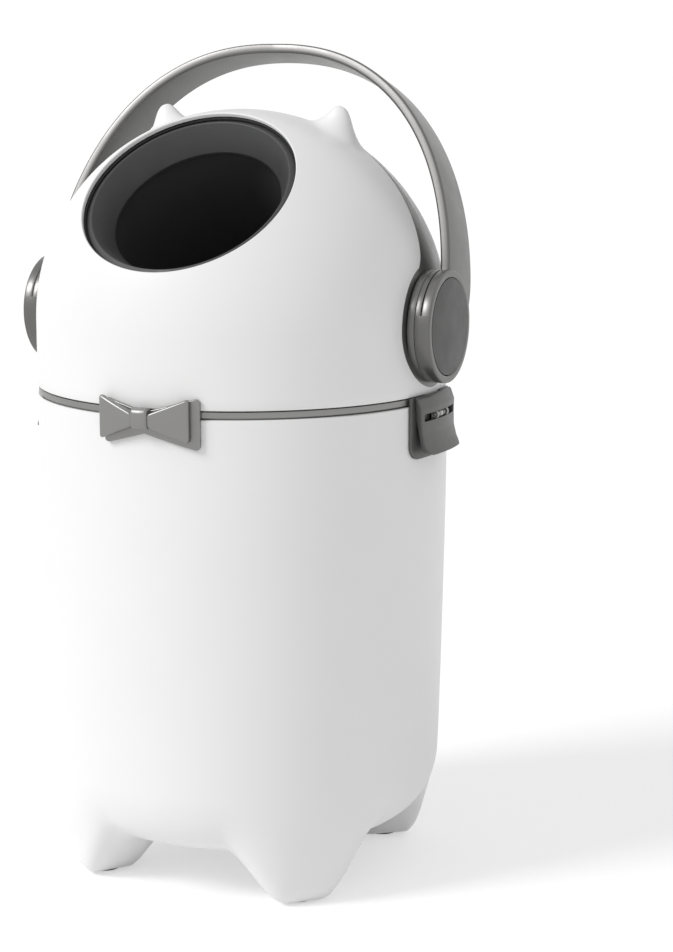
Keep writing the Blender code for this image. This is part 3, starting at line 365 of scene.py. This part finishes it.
inner_radius = seam_radius - shell_wall
edge = 0.0008
round_share = 0.3
outer_height = math.sqrt(seam_radius ** 2 - (opening_radius + edge) ** 2)
head_rows = [with_ears(row)
             for row in dome_rows(seam_radius, opening_ring(opening_radius + edge, outer_height), 150)]
for drop in np.linspace(0, pivot_height - head_bottom - rim_round, 8)[1:]:
    head_rows.append(level_ring * seam_radius - (0, 0, drop))
head_depth = pivot_height - head_bottom
head_rows.append(level_ring * (seam_radius - round_share * rim_round)
                 - (0, 0, head_depth - round_share * rim_round))
head_rows.append(level_ring * (seam_radius - rim_round) - (0, 0, head_depth))
head_rows.append(level_ring * inner_radius - (0, 0, head_depth))
inner_height = math.sqrt(inner_radius ** 2 - opening_radius ** 2)
head_rows += dome_rows(inner_radius, opening_ring(opening_radius, inner_height), 40)[::-1]
lip_height = outer_height - edge
head_rows += [opening_ring(opening_radius, inner_height), opening_ring(opening_radius, lip_height),
              opening_ring(opening_radius + round_share * edge, lip_height + (1 - round_share) * edge)]
add_piece("head_dome", grid_mesh("head_dome", head_rows, loop=True), pivot_frame, white_satin, "head",
          "white_shell", "head_shell", sharp=50)


def bent(points, turn=0.0):
    """Wraps flat (stand-off, distance round, height) points round the bin."""
    points = np.asarray(points, dtype=float)
    radius = seam_radius + points[:, 0]
    angle = points[:, 1] / seam_radius + turn
    return np.column_stack((radius * np.cos(angle), radius * np.sin(angle), points[:, 2]))


catch_face, catch_back, catch_drop, catch_root, catch_edge = -0.0008, -0.0023, 0.0043, 0.0004, 0.0005
for side, turn in (("left", math.pi), ("right", 0.0)):
    catch_top, catch_low = head_bottom + catch_root, head_bottom - catch_drop
    catch_line = soft_corners([(catch_face, catch_top), (catch_face, catch_low), (catch_back, catch_low),
                               (catch_back, catch_top)], catch_edge)
    catch_rows = [bent([(d, u, z) for d, z in catch_line], turn)
                  for u in np.linspace(-catch_half_width, catch_half_width, 17)]
    catch_mesh = grid_mesh("head_catch", catch_rows, first_cap=True, last_cap=True)
    add_piece(f"head_catch_{side}", catch_mesh, bin_frame, white_satin, "head", "white_shell")


# Inside the head: a white ring with a rubber wiper closes the gap to the drum at the bottom, and a
# second wiper, held behind the opening, presses on the drum round its mouth to keep the smell in.
floor_seat = bag_seat + bag_wall + 2 * fit_gap
drum_radius = inner_radius - 0.003
floor_rise, floor_width, floor_wall, floor_edge = 0.015, 0.0061, 0.002, 0.0005
wiper_width, wiper_thickness, wiper_gap, wiper_edge = 0.0036, 0.0018, 0.0005, 0.0004
floor_outline = soft_corners([
    (lip, floor_seat + floor_rise), (lip, floor_seat), (lip - floor_width, floor_seat),
    (lip - floor_width, floor_seat + floor_wall), (lip - floor_wall, floor_seat + floor_wall),
    (lip - floor_wall, floor_seat + floor_rise)], floor_edge)
add_piece("head_floor_ring", turned("head_floor_ring", floor_outline, 200), bin_frame, white_satin, "head",
          "white_shell", "head_floor")
wiper_top = floor_seat + floor_wall + fit_gap + wiper_thickness
wiper_low = wiper_top - wiper_thickness
wiper_in = math.sqrt(drum_radius ** 2 - (pivot_height - wiper_top) ** 2) + wiper_gap
wiper_out = wiper_in + wiper_width
wiper_outline = soft_corners([(wiper_out, wiper_top), (wiper_out, wiper_low), (wiper_in, wiper_low),
                              (wiper_in, wiper_top)], wiper_edge)
add_piece("floor_wiper", turned("floor_wiper", wiper_outline, 200), bin_frame, black_rubber, "head",
          "soft_rubber", "floor_seal")
seal_start = math.asin(opening_radius / inner_radius) + fit_gap / seam_radius
seal_end = seal_start + wiper_width / seam_radius
seal_in = drum_radius + wiper_gap
seal_out = seal_in + wiper_thickness
seal_line = [(r * math.sin(a), r * math.cos(a)) for r, a in
             ((seal_out, seal_start), (seal_out, seal_end), (seal_in, seal_end), (seal_in, seal_start))]
add_piece("opening_wiper", turned("opening_wiper", soft_corners(seal_line, wiper_edge), 200), chute_frame,
          black_rubber, "head", "soft_rubber", "opening_seal")


# Side inlays: a silver-grey skin on either side of the head, round behind the hub and drawn out to a
# point behind the ear. It is clipped into a shallow pocket, flush with the white dome.
# The inlays, hubs and handle are the same silver-grey plastic, given a darker copy of it for the shade on
# their side faces: painted shade.
painted_shade_grey = plastic("silver_grey_plastic_painted_shade", (0.160, 0.158, 0.155), (0.142, 0.140, 0.138), 0.33, 0.03,
                    2600.0, 0.08, metallic=0.8)
inlay_lean = math.radians(13.3)
inlay_lobe, inlay_hole, inlay_tip = 0.0435, 0.0163, 0.121
inlay_proud, inlay_thickness = 0.00015, 0.0012
inlay_tail = ((0.0217, 0.0377), (0.0174, 0.0443), (0.0135, 0.0544), (0.0102, 0.0677), (0.0070, 0.0835),
              (0.0039, 0.1010), (0.0012, 0.1195))
lobe_turn = np.linspace(math.radians(60), -math.radians(240), 110)
tail_side = np.array(smooth_rows(inlay_tail, 8))
lobe_side = np.column_stack((np.cos(lobe_turn), np.sin(lobe_turn)))[1:-1] * inlay_lobe
inlay_line = np.concatenate((tail_side[::-1], lobe_side, tail_side * (-1, 1), [(0, inlay_tip)]))
inlay_away = np.linalg.norm(inlay_line, axis=1)
inlay_shares = [(share, inlay_proud) for share in np.linspace(0, 1, 26)[:-1]]
inlay_shares += [(0.992, 0.0001), (1.0, -0.0002)]
for side, across in (("left", -1), ("right", 1)):
    inlay_rows = []
    for share, proud in inlay_shares:
        flat = inlay_line / inlay_away[:, None] * mixed(inlay_hole, inlay_away, share)[:, None]
        y = flat[:, 0] * math.cos(inlay_lean) + flat[:, 1] * math.sin(inlay_lean)
        z = flat[:, 1] * math.cos(inlay_lean) - flat[:, 0] * math.sin(inlay_lean)
        x = np.sqrt((seam_radius + proud) ** 2 - y ** 2 - np.maximum(z, 0) ** 2)
        inlay_rows.append(np.column_stack((across * x, y, z)))
    mesh = grid_mesh("side_inlay", inlay_rows)
    outward = sum(polygon.normal.x * across for polygon in mesh.polygons) > 0
    inlay = add_piece(f"inlay_{side}", mesh, pivot_frame, painted_shade_grey, "head", "silver_grey",
                      f"side_inlay_{side}")
    skin = inlay.modifiers.new("skin", "SOLIDIFY")
    skin.thickness = inlay_thickness
    skin.offset = -1 if outward else 1
    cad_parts[f"axle_bush_{side}"].material_slots[0].material = pale_nylon


# Drum: a dark grey ball in two halves, with a funnel-shaped mouth that leads to the chute. It turns
# in the head with the handle, so the opening closes as the handle swings to the front.
mouth_radius, mouth_depth, lip_radius, lip_thickness = 0.072, 0.0187, 0.061, 0.0025
mouth_height = math.sqrt(drum_radius ** 2 - mouth_radius ** 2)
lip_top = mouth_height - mouth_depth
lip_under = lip_top - lip_thickness
chute_radius, chute_bottom, thin_wall = 0.066, 0.112, 0.0025
lap_half, joint_angle = 0.006, 0.001
drum_edge, chute_edge = 0.0009, 0.0008
drum_grey = plastic("drum_grey_plastic", (0.050, 0.050, 0.052), (0.040, 0.040, 0.042), 0.50, 0.06,
                    1700.0, 0.30)


def ball_line(radius, start, end, steps):
    return [(radius * math.sin(a), radius * math.cos(a)) for a in np.linspace(start, end, steps + 1)]


mouth_angle = math.asin(mouth_radius / drum_radius)
drum_inner = drum_radius - thin_wall
seat_angle = math.asin((chute_radius + 2 * thin_wall) / drum_inner)
front_line = ball_line(drum_radius, mouth_angle, math.pi / 2 - joint_angle, 30)
front_line += ball_line(drum_inner, math.pi / 2 - joint_angle, seat_angle, 24)
front_line += [(chute_radius + 2 * thin_wall, lip_under), (lip_radius, lip_under), (lip_radius, lip_top)]
add_piece("drum_front_half", turned("drum_front_half", soft_corners(front_line, drum_edge), 200), chute_frame,
          drum_grey, "drum", "drum_grey", "drum_front", sharp=40)
lap_out = drum_inner - 2 * fit_gap
lap_in = lap_out - thin_wall
back_line = ball_line(drum_inner, math.pi, math.radians(98), 24)
back_line += [(lap_in, -lap_half), (lap_in, lap_half), (lap_out, lap_half), (lap_out, -fit_gap / 2)]
back_line += ball_line(drum_radius, math.pi / 2 + joint_angle, math.pi, 30)
back_line[0], back_line[-1] = (0, -drum_inner), (0, -drum_radius)
add_piece("drum_back_half", turned("drum_back_half", back_line, 200, closed=False), chute_frame, drum_grey,
          "drum", "drum_grey", "drum_back", sharp=40)
chute_out, chute_top, chute_under = chute_radius + thin_wall, lip_under - fit_gap, -chute_bottom - thin_wall
chute_line = soft_corners([(0, -chute_bottom), (chute_radius, -chute_bottom), (chute_radius, chute_top),
                           (chute_out, chute_top), (chute_out, chute_under), (0, chute_under)],
                          chute_edge, closed=False)
add_piece("chute", turned("chute", chute_line, 160, closed=False), chute_frame, drum_grey, "drum",
          "drum_grey", "chute_tube")


# Piston: a loose dark grey cup in the chute, with a rubber ring in its groove. It drops as the drum
# turns over and pushes the nappy out into the bag.
piston_play, piston_height, piston_edge = 0.0005, 0.028, 0.0007
piston_wall, piston_bevel, groove_depth = 0.0035, 0.0035, 0.0035
groove_start, groove_width, ring_edge = 0.0105, 0.007, 0.0012
piston_radius = chute_radius - piston_play
piston_under = -chute_bottom + fit_gap
piston_top = piston_under + piston_height
groove_low = piston_under + groove_start
groove_high = groove_low + groove_width
groove_radius = piston_radius - groove_depth
cup_in, cup_top = groove_radius - piston_wall, piston_top - piston_wall
piston_line = soft_corners([
    (0, piston_top), (piston_radius - piston_bevel, piston_top), (piston_radius, piston_top - piston_bevel),
    (piston_radius, groove_high), (groove_radius, groove_high), (groove_radius, groove_low),
    (piston_radius, groove_low), (piston_radius, piston_under), (cup_in, piston_under), (cup_in, cup_top),
    (0, cup_top)], piston_edge, closed=False)
add_piece("piston_cup", turned("piston_cup", piston_line, 160, closed=False), chute_frame, drum_grey,
          "piston", "drum_grey", "piston")
ring_in, ring_low, ring_high = groove_radius + fit_gap, groove_low + fit_gap, groove_high - fit_gap
ring_line = soft_corners([(piston_radius, ring_high), (piston_radius, ring_low), (ring_in, ring_low),
                          (ring_in, ring_high)], ring_edge)
add_piece("piston_ring", turned("piston_ring", ring_line, 160), chute_frame, black_rubber, "piston",
          "soft_rubber", "piston_seal")


# Hubs: a silver-grey disc on either side, screwed to the drum's nylon axle. The handle's end covers
# its upper half, which leaves the stepped joint on the edge, and a flat cap hides the screw. A fixed
# ring of the same grey on the head fills the room behind each disc.
handle_lean = math.radians(16.5)
handle_frame = pivot_frame @ Matrix.Rotation(-handle_lean, 4, "X")
hub_radius, hub_in, hub_out = 0.040, 0.1512, 0.1625
cap_radius, cap_seat = 0.0343, 0.1602
boss_radius, boss_room, boss_in = 0.0396, 0.0300, 0.1457
strap_thickness = 0.0071
hub_split = hub_out - strap_thickness
screw_seat, screw_bore, screw_room = 0.1526, 0.0028, 0.0063
cap_room = cap_radius + fit_gap
hub_step = 0.0001
hub_edge, base_edge, cap_edge, boss_edge = 0.0011, 0.0003, 0.0005, 0.0004
# The cap is matt, and its grey is set dark for the shade on its side face: painted shade.
matt_painted_shade_grey = plastic("matt_grey_plastic_painted_shade", (0.070, 0.069, 0.068), (0.060, 0.059, 0.058), 0.50, 0.05,
                    2600.0, 0.10)


def half_ring(name, low, high, inner, upper, across):
    """Half of a rimmed disc, above or below the handle's axis line."""
    line = soft_corners([(hub_radius, high), (hub_radius, low), (screw_room, low), (screw_room, inner),
                         (cap_room, inner), (cap_room, high)], hub_edge)
    start = (math.pi / 2 if upper else -math.pi / 2) + (0 if across > 0 else math.pi)
    return turned(name, line, 80, start=start, sweep=math.pi)


for side, across in (("left", -1), ("right", 1)):
    facing = handle_frame @ Matrix.Rotation(across * math.pi / 2, 4, "Y")
    base_radius, base_out = hub_radius - hub_step, hub_split - fit_gap
    base_line = soft_corners([(base_radius, base_out), (base_radius, hub_in), (screw_bore, hub_in),
                              (screw_bore, screw_seat), (screw_room, screw_seat), (screw_room, base_out)],
                             base_edge)
    add_piece(f"hub_base_{side}", turned("hub_base", base_line, 160), facing, painted_shade_grey, "drum",
              "silver_grey", f"hub_{side}")
    rim_mesh = half_ring("hub_rim", hub_in + hub_step, hub_out, cap_seat, False, across)
    add_piece(f"hub_rim_{side}", rim_mesh, facing, painted_shade_grey, "drum", "silver_grey")
    cap_line = soft_corners([(0, hub_out), (cap_radius, hub_out), (cap_radius, cap_seat + fit_gap),
                             (0, cap_seat + fit_gap)], cap_edge, closed=False)
    add_piece(f"cap_{side}", turned("cap", cap_line, 160, closed=False), facing, matt_painted_shade_grey, "drum",
              "silver_grey", f"hub_cap_{side}")
    boss_line = soft_corners([(boss_radius, hub_in - fit_gap), (boss_radius, boss_in), (boss_room, boss_in),
                              (boss_room, hub_in - fit_gap)], boss_edge)
    add_piece(f"hub_boss_{side}", turned("hub_boss", boss_line, 160), facing, painted_shade_grey, "head",
              "silver_grey")


# Axles and screws: pale nylon stubs with a flange inside the drum. One steel screw under each cap
# draws the hub onto its axle.
steel = plastic("bright_steel", (0.60, 0.60, 0.61), (0.52, 0.52, 0.53), 0.28, 0.06, 900.0, 0.10,
                metallic=1.0)
for node, material in (("axle_left", pale_nylon), ("axle_right", pale_nylon), ("hub_screw_left", steel),
                       ("hub_screw_right", steel)):
    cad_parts[node].material_slots[0].material = material


# Handle: one silver-grey strap that arches over the head and ends in a half disc on either hub. It is
# flat, spreads a little towards the hubs, stands behind their middle and has softly rounded edges.
handle_rise, arch_power = 0.2048, 2.25
strap_half, strap_spread, strap_flare, strap_setback = 0.0145, 0.0095, 0.0040, 0.0140
strap_round = 0.0017
strap_start, strap_steps = math.radians(3), 240


def strap_edges(rise):
    up = min(1, rise / handle_rise)
    root = max(0, 1 - rise / hub_radius) ** 2
    half = strap_half + strap_spread * math.sqrt(1 - up) + strap_flare * root
    middle = strap_setback * (1 - root)
    return middle - half, middle + half


arch_rows = []
for turn in strap_start + (math.pi - 2 * strap_start) * np.arange(strap_steps + 1) / strap_steps:
    across_share = math.copysign(abs(math.cos(turn)) ** (2 / arch_power), math.cos(turn))
    rise_share = math.sin(turn) ** (2 / arch_power)
    inward = -Vector((math.copysign(abs(across_share) ** (arch_power - 1), across_share) / hub_out,
                      rise_share ** (arch_power - 1) / handle_rise)).normalized()
    front, rear = strap_edges(handle_rise * rise_share)
    section = soft_corners([(front, 0), (rear, 0), (rear, strap_thickness), (front, strap_thickness)],
                           strap_round, 5)
    arch_x, arch_z = hub_out * across_share, handle_rise * rise_share
    arch_rows.append([(arch_x + inward.x * deep, y, arch_z + inward.y * deep) for y, deep in section])
add_piece("handle_strap", grid_mesh("handle_strap", arch_rows, first_cap=True, last_cap=True), handle_frame,
          painted_shade_grey, "drum", "silver_grey", "handle_arch", sharp=50)
for side, across in (("left", -1), ("right", 1)):
    facing = handle_frame @ Matrix.Rotation(across * math.pi / 2, 4, "Y")
    end_mesh = half_ring("handle_end", hub_split, hub_out, cap_seat, True, across)
    add_piece(f"handle_end_{side}", end_mesh, facing, painted_shade_grey, "drum", "silver_grey")


# Side latches: a grey plate screwed to the body under each hub, with a sprung lever on a steel pin.
# Pressing the lever's flared foot swings the tooth at its top out of the head's catch.
window_top, window_low, window_half = collar_top - 0.0115, collar_top - 0.0169, 0.0265
window_in, window_out = -0.001, 0.02
pin_height = window_top - 0.0027
pin_distance = seam_radius + 0.0050
plate_low, plate_half, plate_corner = collar_top - 0.044, 0.036, 0.010
plate_thickness, plate_edge = 0.002, 0.0005
lever_top, lever_low = collar_top, collar_top - 0.0405
lever_top_half, lever_low_half, lever_corner = 0.0315, 0.028, 0.006
lever_thickness, lever_edge = 0.0022, 0.0007
flange_width, flange_back = 0.0018, 0.0027
press_room = 0.15
lever_path = ((0.0, 0.0024), (0.0078, 0.0052), (0.0170, 0.0051), (0.0260, 0.0054), (0.0340, 0.0074),
              (0.0405, 0.0108))
lug_half = 0.0016
lug_place, lug_size, lug_root = 0.0093, 0.0031, pin_distance - 0.0019
knuckle_place, knuckle_size, knuckle_root = 0.0050, 0.0022, seam_radius + 0.0013
# The plates and levers take a darker copy of the silver-grey plastic, for the shade they stand in: painted
# shade.
latch_painted_shade_grey = plastic("latch_grey_plastic_painted_shade", (0.125, 0.124, 0.122), (0.108, 0.107, 0.105), 0.42, 0.04,
                     2600.0, 0.10, metallic=0.6)


def lever_face(drop):
    return float(np.interp(drop, [d for d, s in lever_path], [s for d, s in lever_path]))


def plate_half_width(height, top, low, top_half, low_half, corner):
    half = mixed(low_half, top_half, (height - low) / (top - low))
    if height < low + corner:
        half -= corner - math.sqrt(max(0, corner ** 2 - (low + corner - height) ** 2))
    return half


def panel_heights(top, low, corner, straight_steps, corner_steps):
    """Heights down a panel: even along its straight sides, then closer round its lower corners."""
    bend = np.sin(np.linspace(0, np.pi / 2, corner_steps))[1:]
    return np.concatenate((np.linspace(top, low + corner, straight_steps), low + corner - corner * bend))


def flat_panel(name, heights, half_of, face_of, thickness, columns, turn, edge_size, flange_of=None):
    """A panel wrapped round the bin: an outer face with rounded edges and an inner face. Its sides
    may turn in towards the bin as flanges."""
    rows = []
    shares = np.sin(np.linspace(-np.pi / 2, np.pi / 2, columns))
    for height in heights:
        half = half_of(height)
        face = face_of(height)
        outer, inner = [], []
        for share in shares:
            inset = max(0, abs(share) * half - half + edge_size) / edge_size
            near_end = min(height - heights[-1], heights[0] - height)
            end_inset = max(0, 1 - near_end / edge_size)
            round_off = edge_size * (1 - math.sqrt(max(0, 1 - min(1, inset ** 2 + end_inset ** 2))))
            outer.append((face + thickness - round_off, share * half, height))
            at_side = abs(share) * half > half - flange_width
            back = flange_of(height) if flange_of and at_side else face
            inner.append((min(face, back), share * half, height))
        rows.append(bent(outer + inner[::-1], turn))
    return grid_mesh(name, rows, first_cap=True, last_cap=True)


for side, turn in (("left", math.pi), ("right", 0.0)):
    across = 1 if side == "right" else -1
    plate_mesh = flat_panel("latch_plate", panel_heights(collar_top, plate_low, plate_corner, 24, 14),
                            lambda z: plate_half_width(z, collar_top, plate_low, plate_half, plate_half,
                                                       plate_corner),
                            lambda z: fit_gap, plate_thickness, 45, turn, plate_edge)
    add_piece(f"latch_plate_{side}", plate_mesh, bin_frame, latch_painted_shade_grey, "base", "silver_grey",
              f"latch_base_{side}", sharp=40)
    lever_mesh = flat_panel("lever", panel_heights(lever_top, lever_low, lever_corner, 40, 12),
                            lambda z: plate_half_width(z, lever_top, lever_low, lever_top_half,
                                                       lever_low_half, lever_corner),
                            lambda z: lever_face(lever_top - z), lever_thickness, 61, turn, lever_edge,
                            lambda z: flange_back + press_room * max(0, pin_height - z))
    lever_piece = add_piece(f"lever_{side}", lever_mesh, bin_frame, latch_painted_shade_grey, f"latch_{side}",
                            "silver_grey", f"latch_lever_{side}", sharp=40)
    window_line = ((window_in, window_top), (window_out, window_top), (window_out, window_low),
                   (window_in, window_low))
    window_rows = [bent([(d, u, z) for d, z in window_line], turn)
                   for u in np.linspace(-window_half, window_half, 25)]
    window_mesh = grid_mesh("window_cut", window_rows, first_cap=True, last_cap=True)
    window = bpy.data.objects.new("window_cut", window_mesh)
    bpy.context.scene.collection.objects.link(window)
    window.matrix_world = bin_frame
    cut = lever_piece.modifiers.new("window", "BOOLEAN")
    cut.object = window
    cut.solver = "EXACT"
    bpy.context.view_layer.update()
    cut_lever = lever_piece.evaluated_get(bpy.context.evaluated_depsgraph_get())
    cut_mesh = bpy.data.meshes.new_from_object(cut_lever)
    lever_piece.modifiers.clear()
    lever_piece.data = cut_mesh
    cut_mesh.set_sharp_from_angle(angle=math.radians(35))
    bpy.data.objects.remove(window, do_unlink=True)
    for name, place, size, root, body in (
            ("lug_a", -lug_place, lug_size, lug_root, f"latch_{side}"),
            ("lug_b", lug_place, lug_size, lug_root, f"latch_{side}"),
            ("knuckle_a", -knuckle_place, knuckle_size, knuckle_root, "base"),
            ("knuckle_b", knuckle_place, knuckle_size, knuckle_root, "base")):
        line = [(root, -size), (root, size)]
        line += [(pin_distance + size * math.cos(a), size * math.sin(a))
                 for a in np.linspace(np.pi / 2, -np.pi / 2, 13)]
        rows = [[(across * x, across * (place + t * lug_half), pin_height + z) for x, z in line]
                for t in (-1, 1)]
        add_piece(f"{name}_{side}", grid_mesh(name, rows, first_cap=True, last_cap=True), bin_frame,
                  silver_grey, body, "silver_grey")
    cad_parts[f"latch_pin_{side}"].material_slots[0].material = steel
    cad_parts[f"latch_spring_{side}"].material_slots[0].material = steel


# Bow: a silver-grey trim in four pieces, curved to the body. A clip grips the collar, a thick cover
# with soft edges sits on each wing, and a rounded knot closes the middle.
wing_root, wing_end = 0.0050, 0.0330
wing_waist, wing_height, wing_corner = 0.0042, 0.0156, 0.0026
wing_near, wing_far, wing_back = 0.0108, 0.0078, 0.0034
clip_left, clip_right, clip_waist, clip_height, clip_corner = -0.0320, 0.0397, 0.0075, 0.0184, 0.0040
clip_front = 0.0031
knot_half, knot_height, knot_front, knot_corner, knot_curve = 0.0060, 0.0073, 0.0125, 0.0016, 20
bow_edge, knot_edge, clip_edge = 0.0017, 0.0046, 0.0009
bow_level, clip_level, knot_level = 0.3541, 0.3514, 0.3552


def rounding(radius, from_end):
    return radius - math.sqrt(max(0, radius ** 2 - max(0, radius - from_end) ** 2))


def bow_part(name, low, high, height_of, front_of, back, corner, edge, level, node):
    """A thick plate bent to the body. Its height and front may change along it, all edges are soft."""
    rows = []
    for u in low + (high - low) * (1 - np.cos(np.linspace(0, np.pi, 65))) / 2:
        from_end = min(u - low, high - u)
        half = height_of(abs(u)) - rounding(corner, from_end)
        front = front_of(abs(u)) - rounding(min(edge, bow_edge), from_end)
        section = soft_corners([(back, -half), (front, -half), (front, half), (back, half)], edge, 5)
        rows.append(bent([(d, u, level + z) for d, z in section], -math.pi / 2))
    add_piece(name, grid_mesh(name, rows, first_cap=True, last_cap=True), bin_frame, silver_grey, "base",
              "silver_grey", node, sharp=60)


bow_part("bow_back_clip", clip_left, clip_right, lambda u: mixed(clip_waist, clip_height, u / clip_right),
         lambda u: clip_front, fit_gap, clip_corner, clip_edge, clip_level, "bow_clip")
for side, low, high in (("left", -wing_end, -wing_root), ("right", wing_root, wing_end)):
    bow_part(f"bow_cover_{side}", low, high,
             lambda u: mixed(wing_waist, wing_height, (u - wing_root) / (wing_end - wing_root)),
             lambda u: mixed(wing_near, wing_far, (u - wing_root) / (wing_end - wing_root)),
             wing_back, wing_corner, bow_edge, bow_level, f"bow_wing_{side}")
bow_part("bow_middle_knot", -knot_half, knot_half, lambda u: knot_height,
         lambda u: knot_front - knot_curve * u ** 2, wing_back, knot_corner, knot_edge, knot_level,
         "bow_knot")


# Floor, light and camera: a plain white floor under a white backdrop, even light from all round, and
# one broad soft lamp high on the left. The floor keeps the bin's shadow.
sky_level, key_level, key_softness = 0.56, 1.75, 0.30
key_direction = Vector((-0.669, -0.743, 0.80))
floor_tone, floor_lift, floor_bounce, floor_reach = 0.60, 0.50, 0.95, 40
sensor_width, focal_pixels, picture_pixels = 36.0, 2291, 952


def seen_directly(tree):
    """One where a surface is seen by the camera, in a gloss or through something clear."""
    ray = tree.nodes.new("ShaderNodeLightPath")
    total = ray.outputs["Is Camera Ray"]
    for kind in ("Is Glossy Ray", "Is Transmission Ray"):
        larger = tree.nodes.new("ShaderNodeMath")
        larger.operation = "MAXIMUM"
        tree.links.new(total, larger.inputs[0])
        tree.links.new(ray.outputs[kind], larger.inputs[1])
        total = larger.outputs["Value"]
    return total


floor_material = bpy.data.materials.new("studio_floor")
floor_material.use_nodes = True
floor_tree = floor_material.node_tree
floor_tree.nodes.remove(floor_tree.nodes["Principled BSDF"])
shaders = {}
for name, kind, value in (("bounce", "ShaderNodeBsdfDiffuse", floor_bounce),
                          ("seen", "ShaderNodeBsdfDiffuse", floor_tone),
                          ("lift", "ShaderNodeEmission", floor_lift)):
    shaders[name] = floor_tree.nodes.new(kind)
    shaders[name].inputs["Color"].default_value = (value, value, value, 1)
lifted = floor_tree.nodes.new("ShaderNodeAddShader")
floor_tree.links.new(shaders["seen"].outputs["BSDF"], lifted.inputs[0])
floor_tree.links.new(shaders["lift"].outputs["Emission"], lifted.inputs[1])
floor_mix = floor_tree.nodes.new("ShaderNodeMixShader")
floor_tree.links.new(seen_directly(floor_tree), floor_mix.inputs["Fac"])
floor_tree.links.new(shaders["bounce"].outputs["BSDF"], floor_mix.inputs[1])
floor_tree.links.new(lifted.outputs["Shader"], floor_mix.inputs[2])
floor_tree.links.new(floor_mix.outputs["Shader"], floor_tree.nodes["Material Output"].inputs["Surface"])
floor_mesh = bpy.data.meshes.new("studio_floor")
floor_corners = [(x * floor_reach, y * floor_reach, 0) for x, y in ((-1, -1), (1, -1), (1, 1), (-1, 1))]
floor_mesh.from_pydata(floor_corners, [], [(0, 1, 2, 3)])
floor = bpy.data.objects.new("studio_floor", floor_mesh)
bpy.context.scene.collection.objects.link(floor)
floor_mesh.materials.append(floor_material)

world = bpy.data.worlds.new("studio")
bpy.context.scene.world = world
world.use_nodes = True
backdrop = world.node_tree.nodes["Background"]
backdrop.inputs["Color"].default_value = (1, 1, 1, 1)
level = world.node_tree.nodes.new("ShaderNodeMapRange")
level.inputs["To Min"].default_value = sky_level
level.inputs["To Max"].default_value = 1.0
world.node_tree.links.new(seen_directly(world.node_tree), level.inputs["Value"])
world.node_tree.links.new(level.outputs["Result"], backdrop.inputs["Strength"])

key_data = bpy.data.lights.new("key", "SUN")
key_data.energy = key_level
key_data.angle = key_softness
key = bpy.data.objects.new("key", key_data)
bpy.context.scene.collection.objects.link(key)
key.location = key_direction * 3
key.rotation_euler = (-key_direction).to_track_quat("-Z", "Y").to_euler()

camera_data = bpy.data.cameras.new("camera")
camera_data.sensor_width = sensor_width
camera_data.lens = focal_pixels * sensor_width / picture_pixels
camera = bpy.data.objects.new("camera", camera_data)
bpy.context.scene.collection.objects.link(camera)
look_at = Vector((0.0629, 0.0277 + axis_setback, 0.2888))
camera.location = (0.7376, -1.5014 + axis_setback, 0.5995)
camera.rotation_euler = (look_at - camera.location).to_track_quat("-Z", "Y").to_euler()
bpy.context.scene.camera = camera
bpy.context.scene.view_settings.view_transform = "Standard"
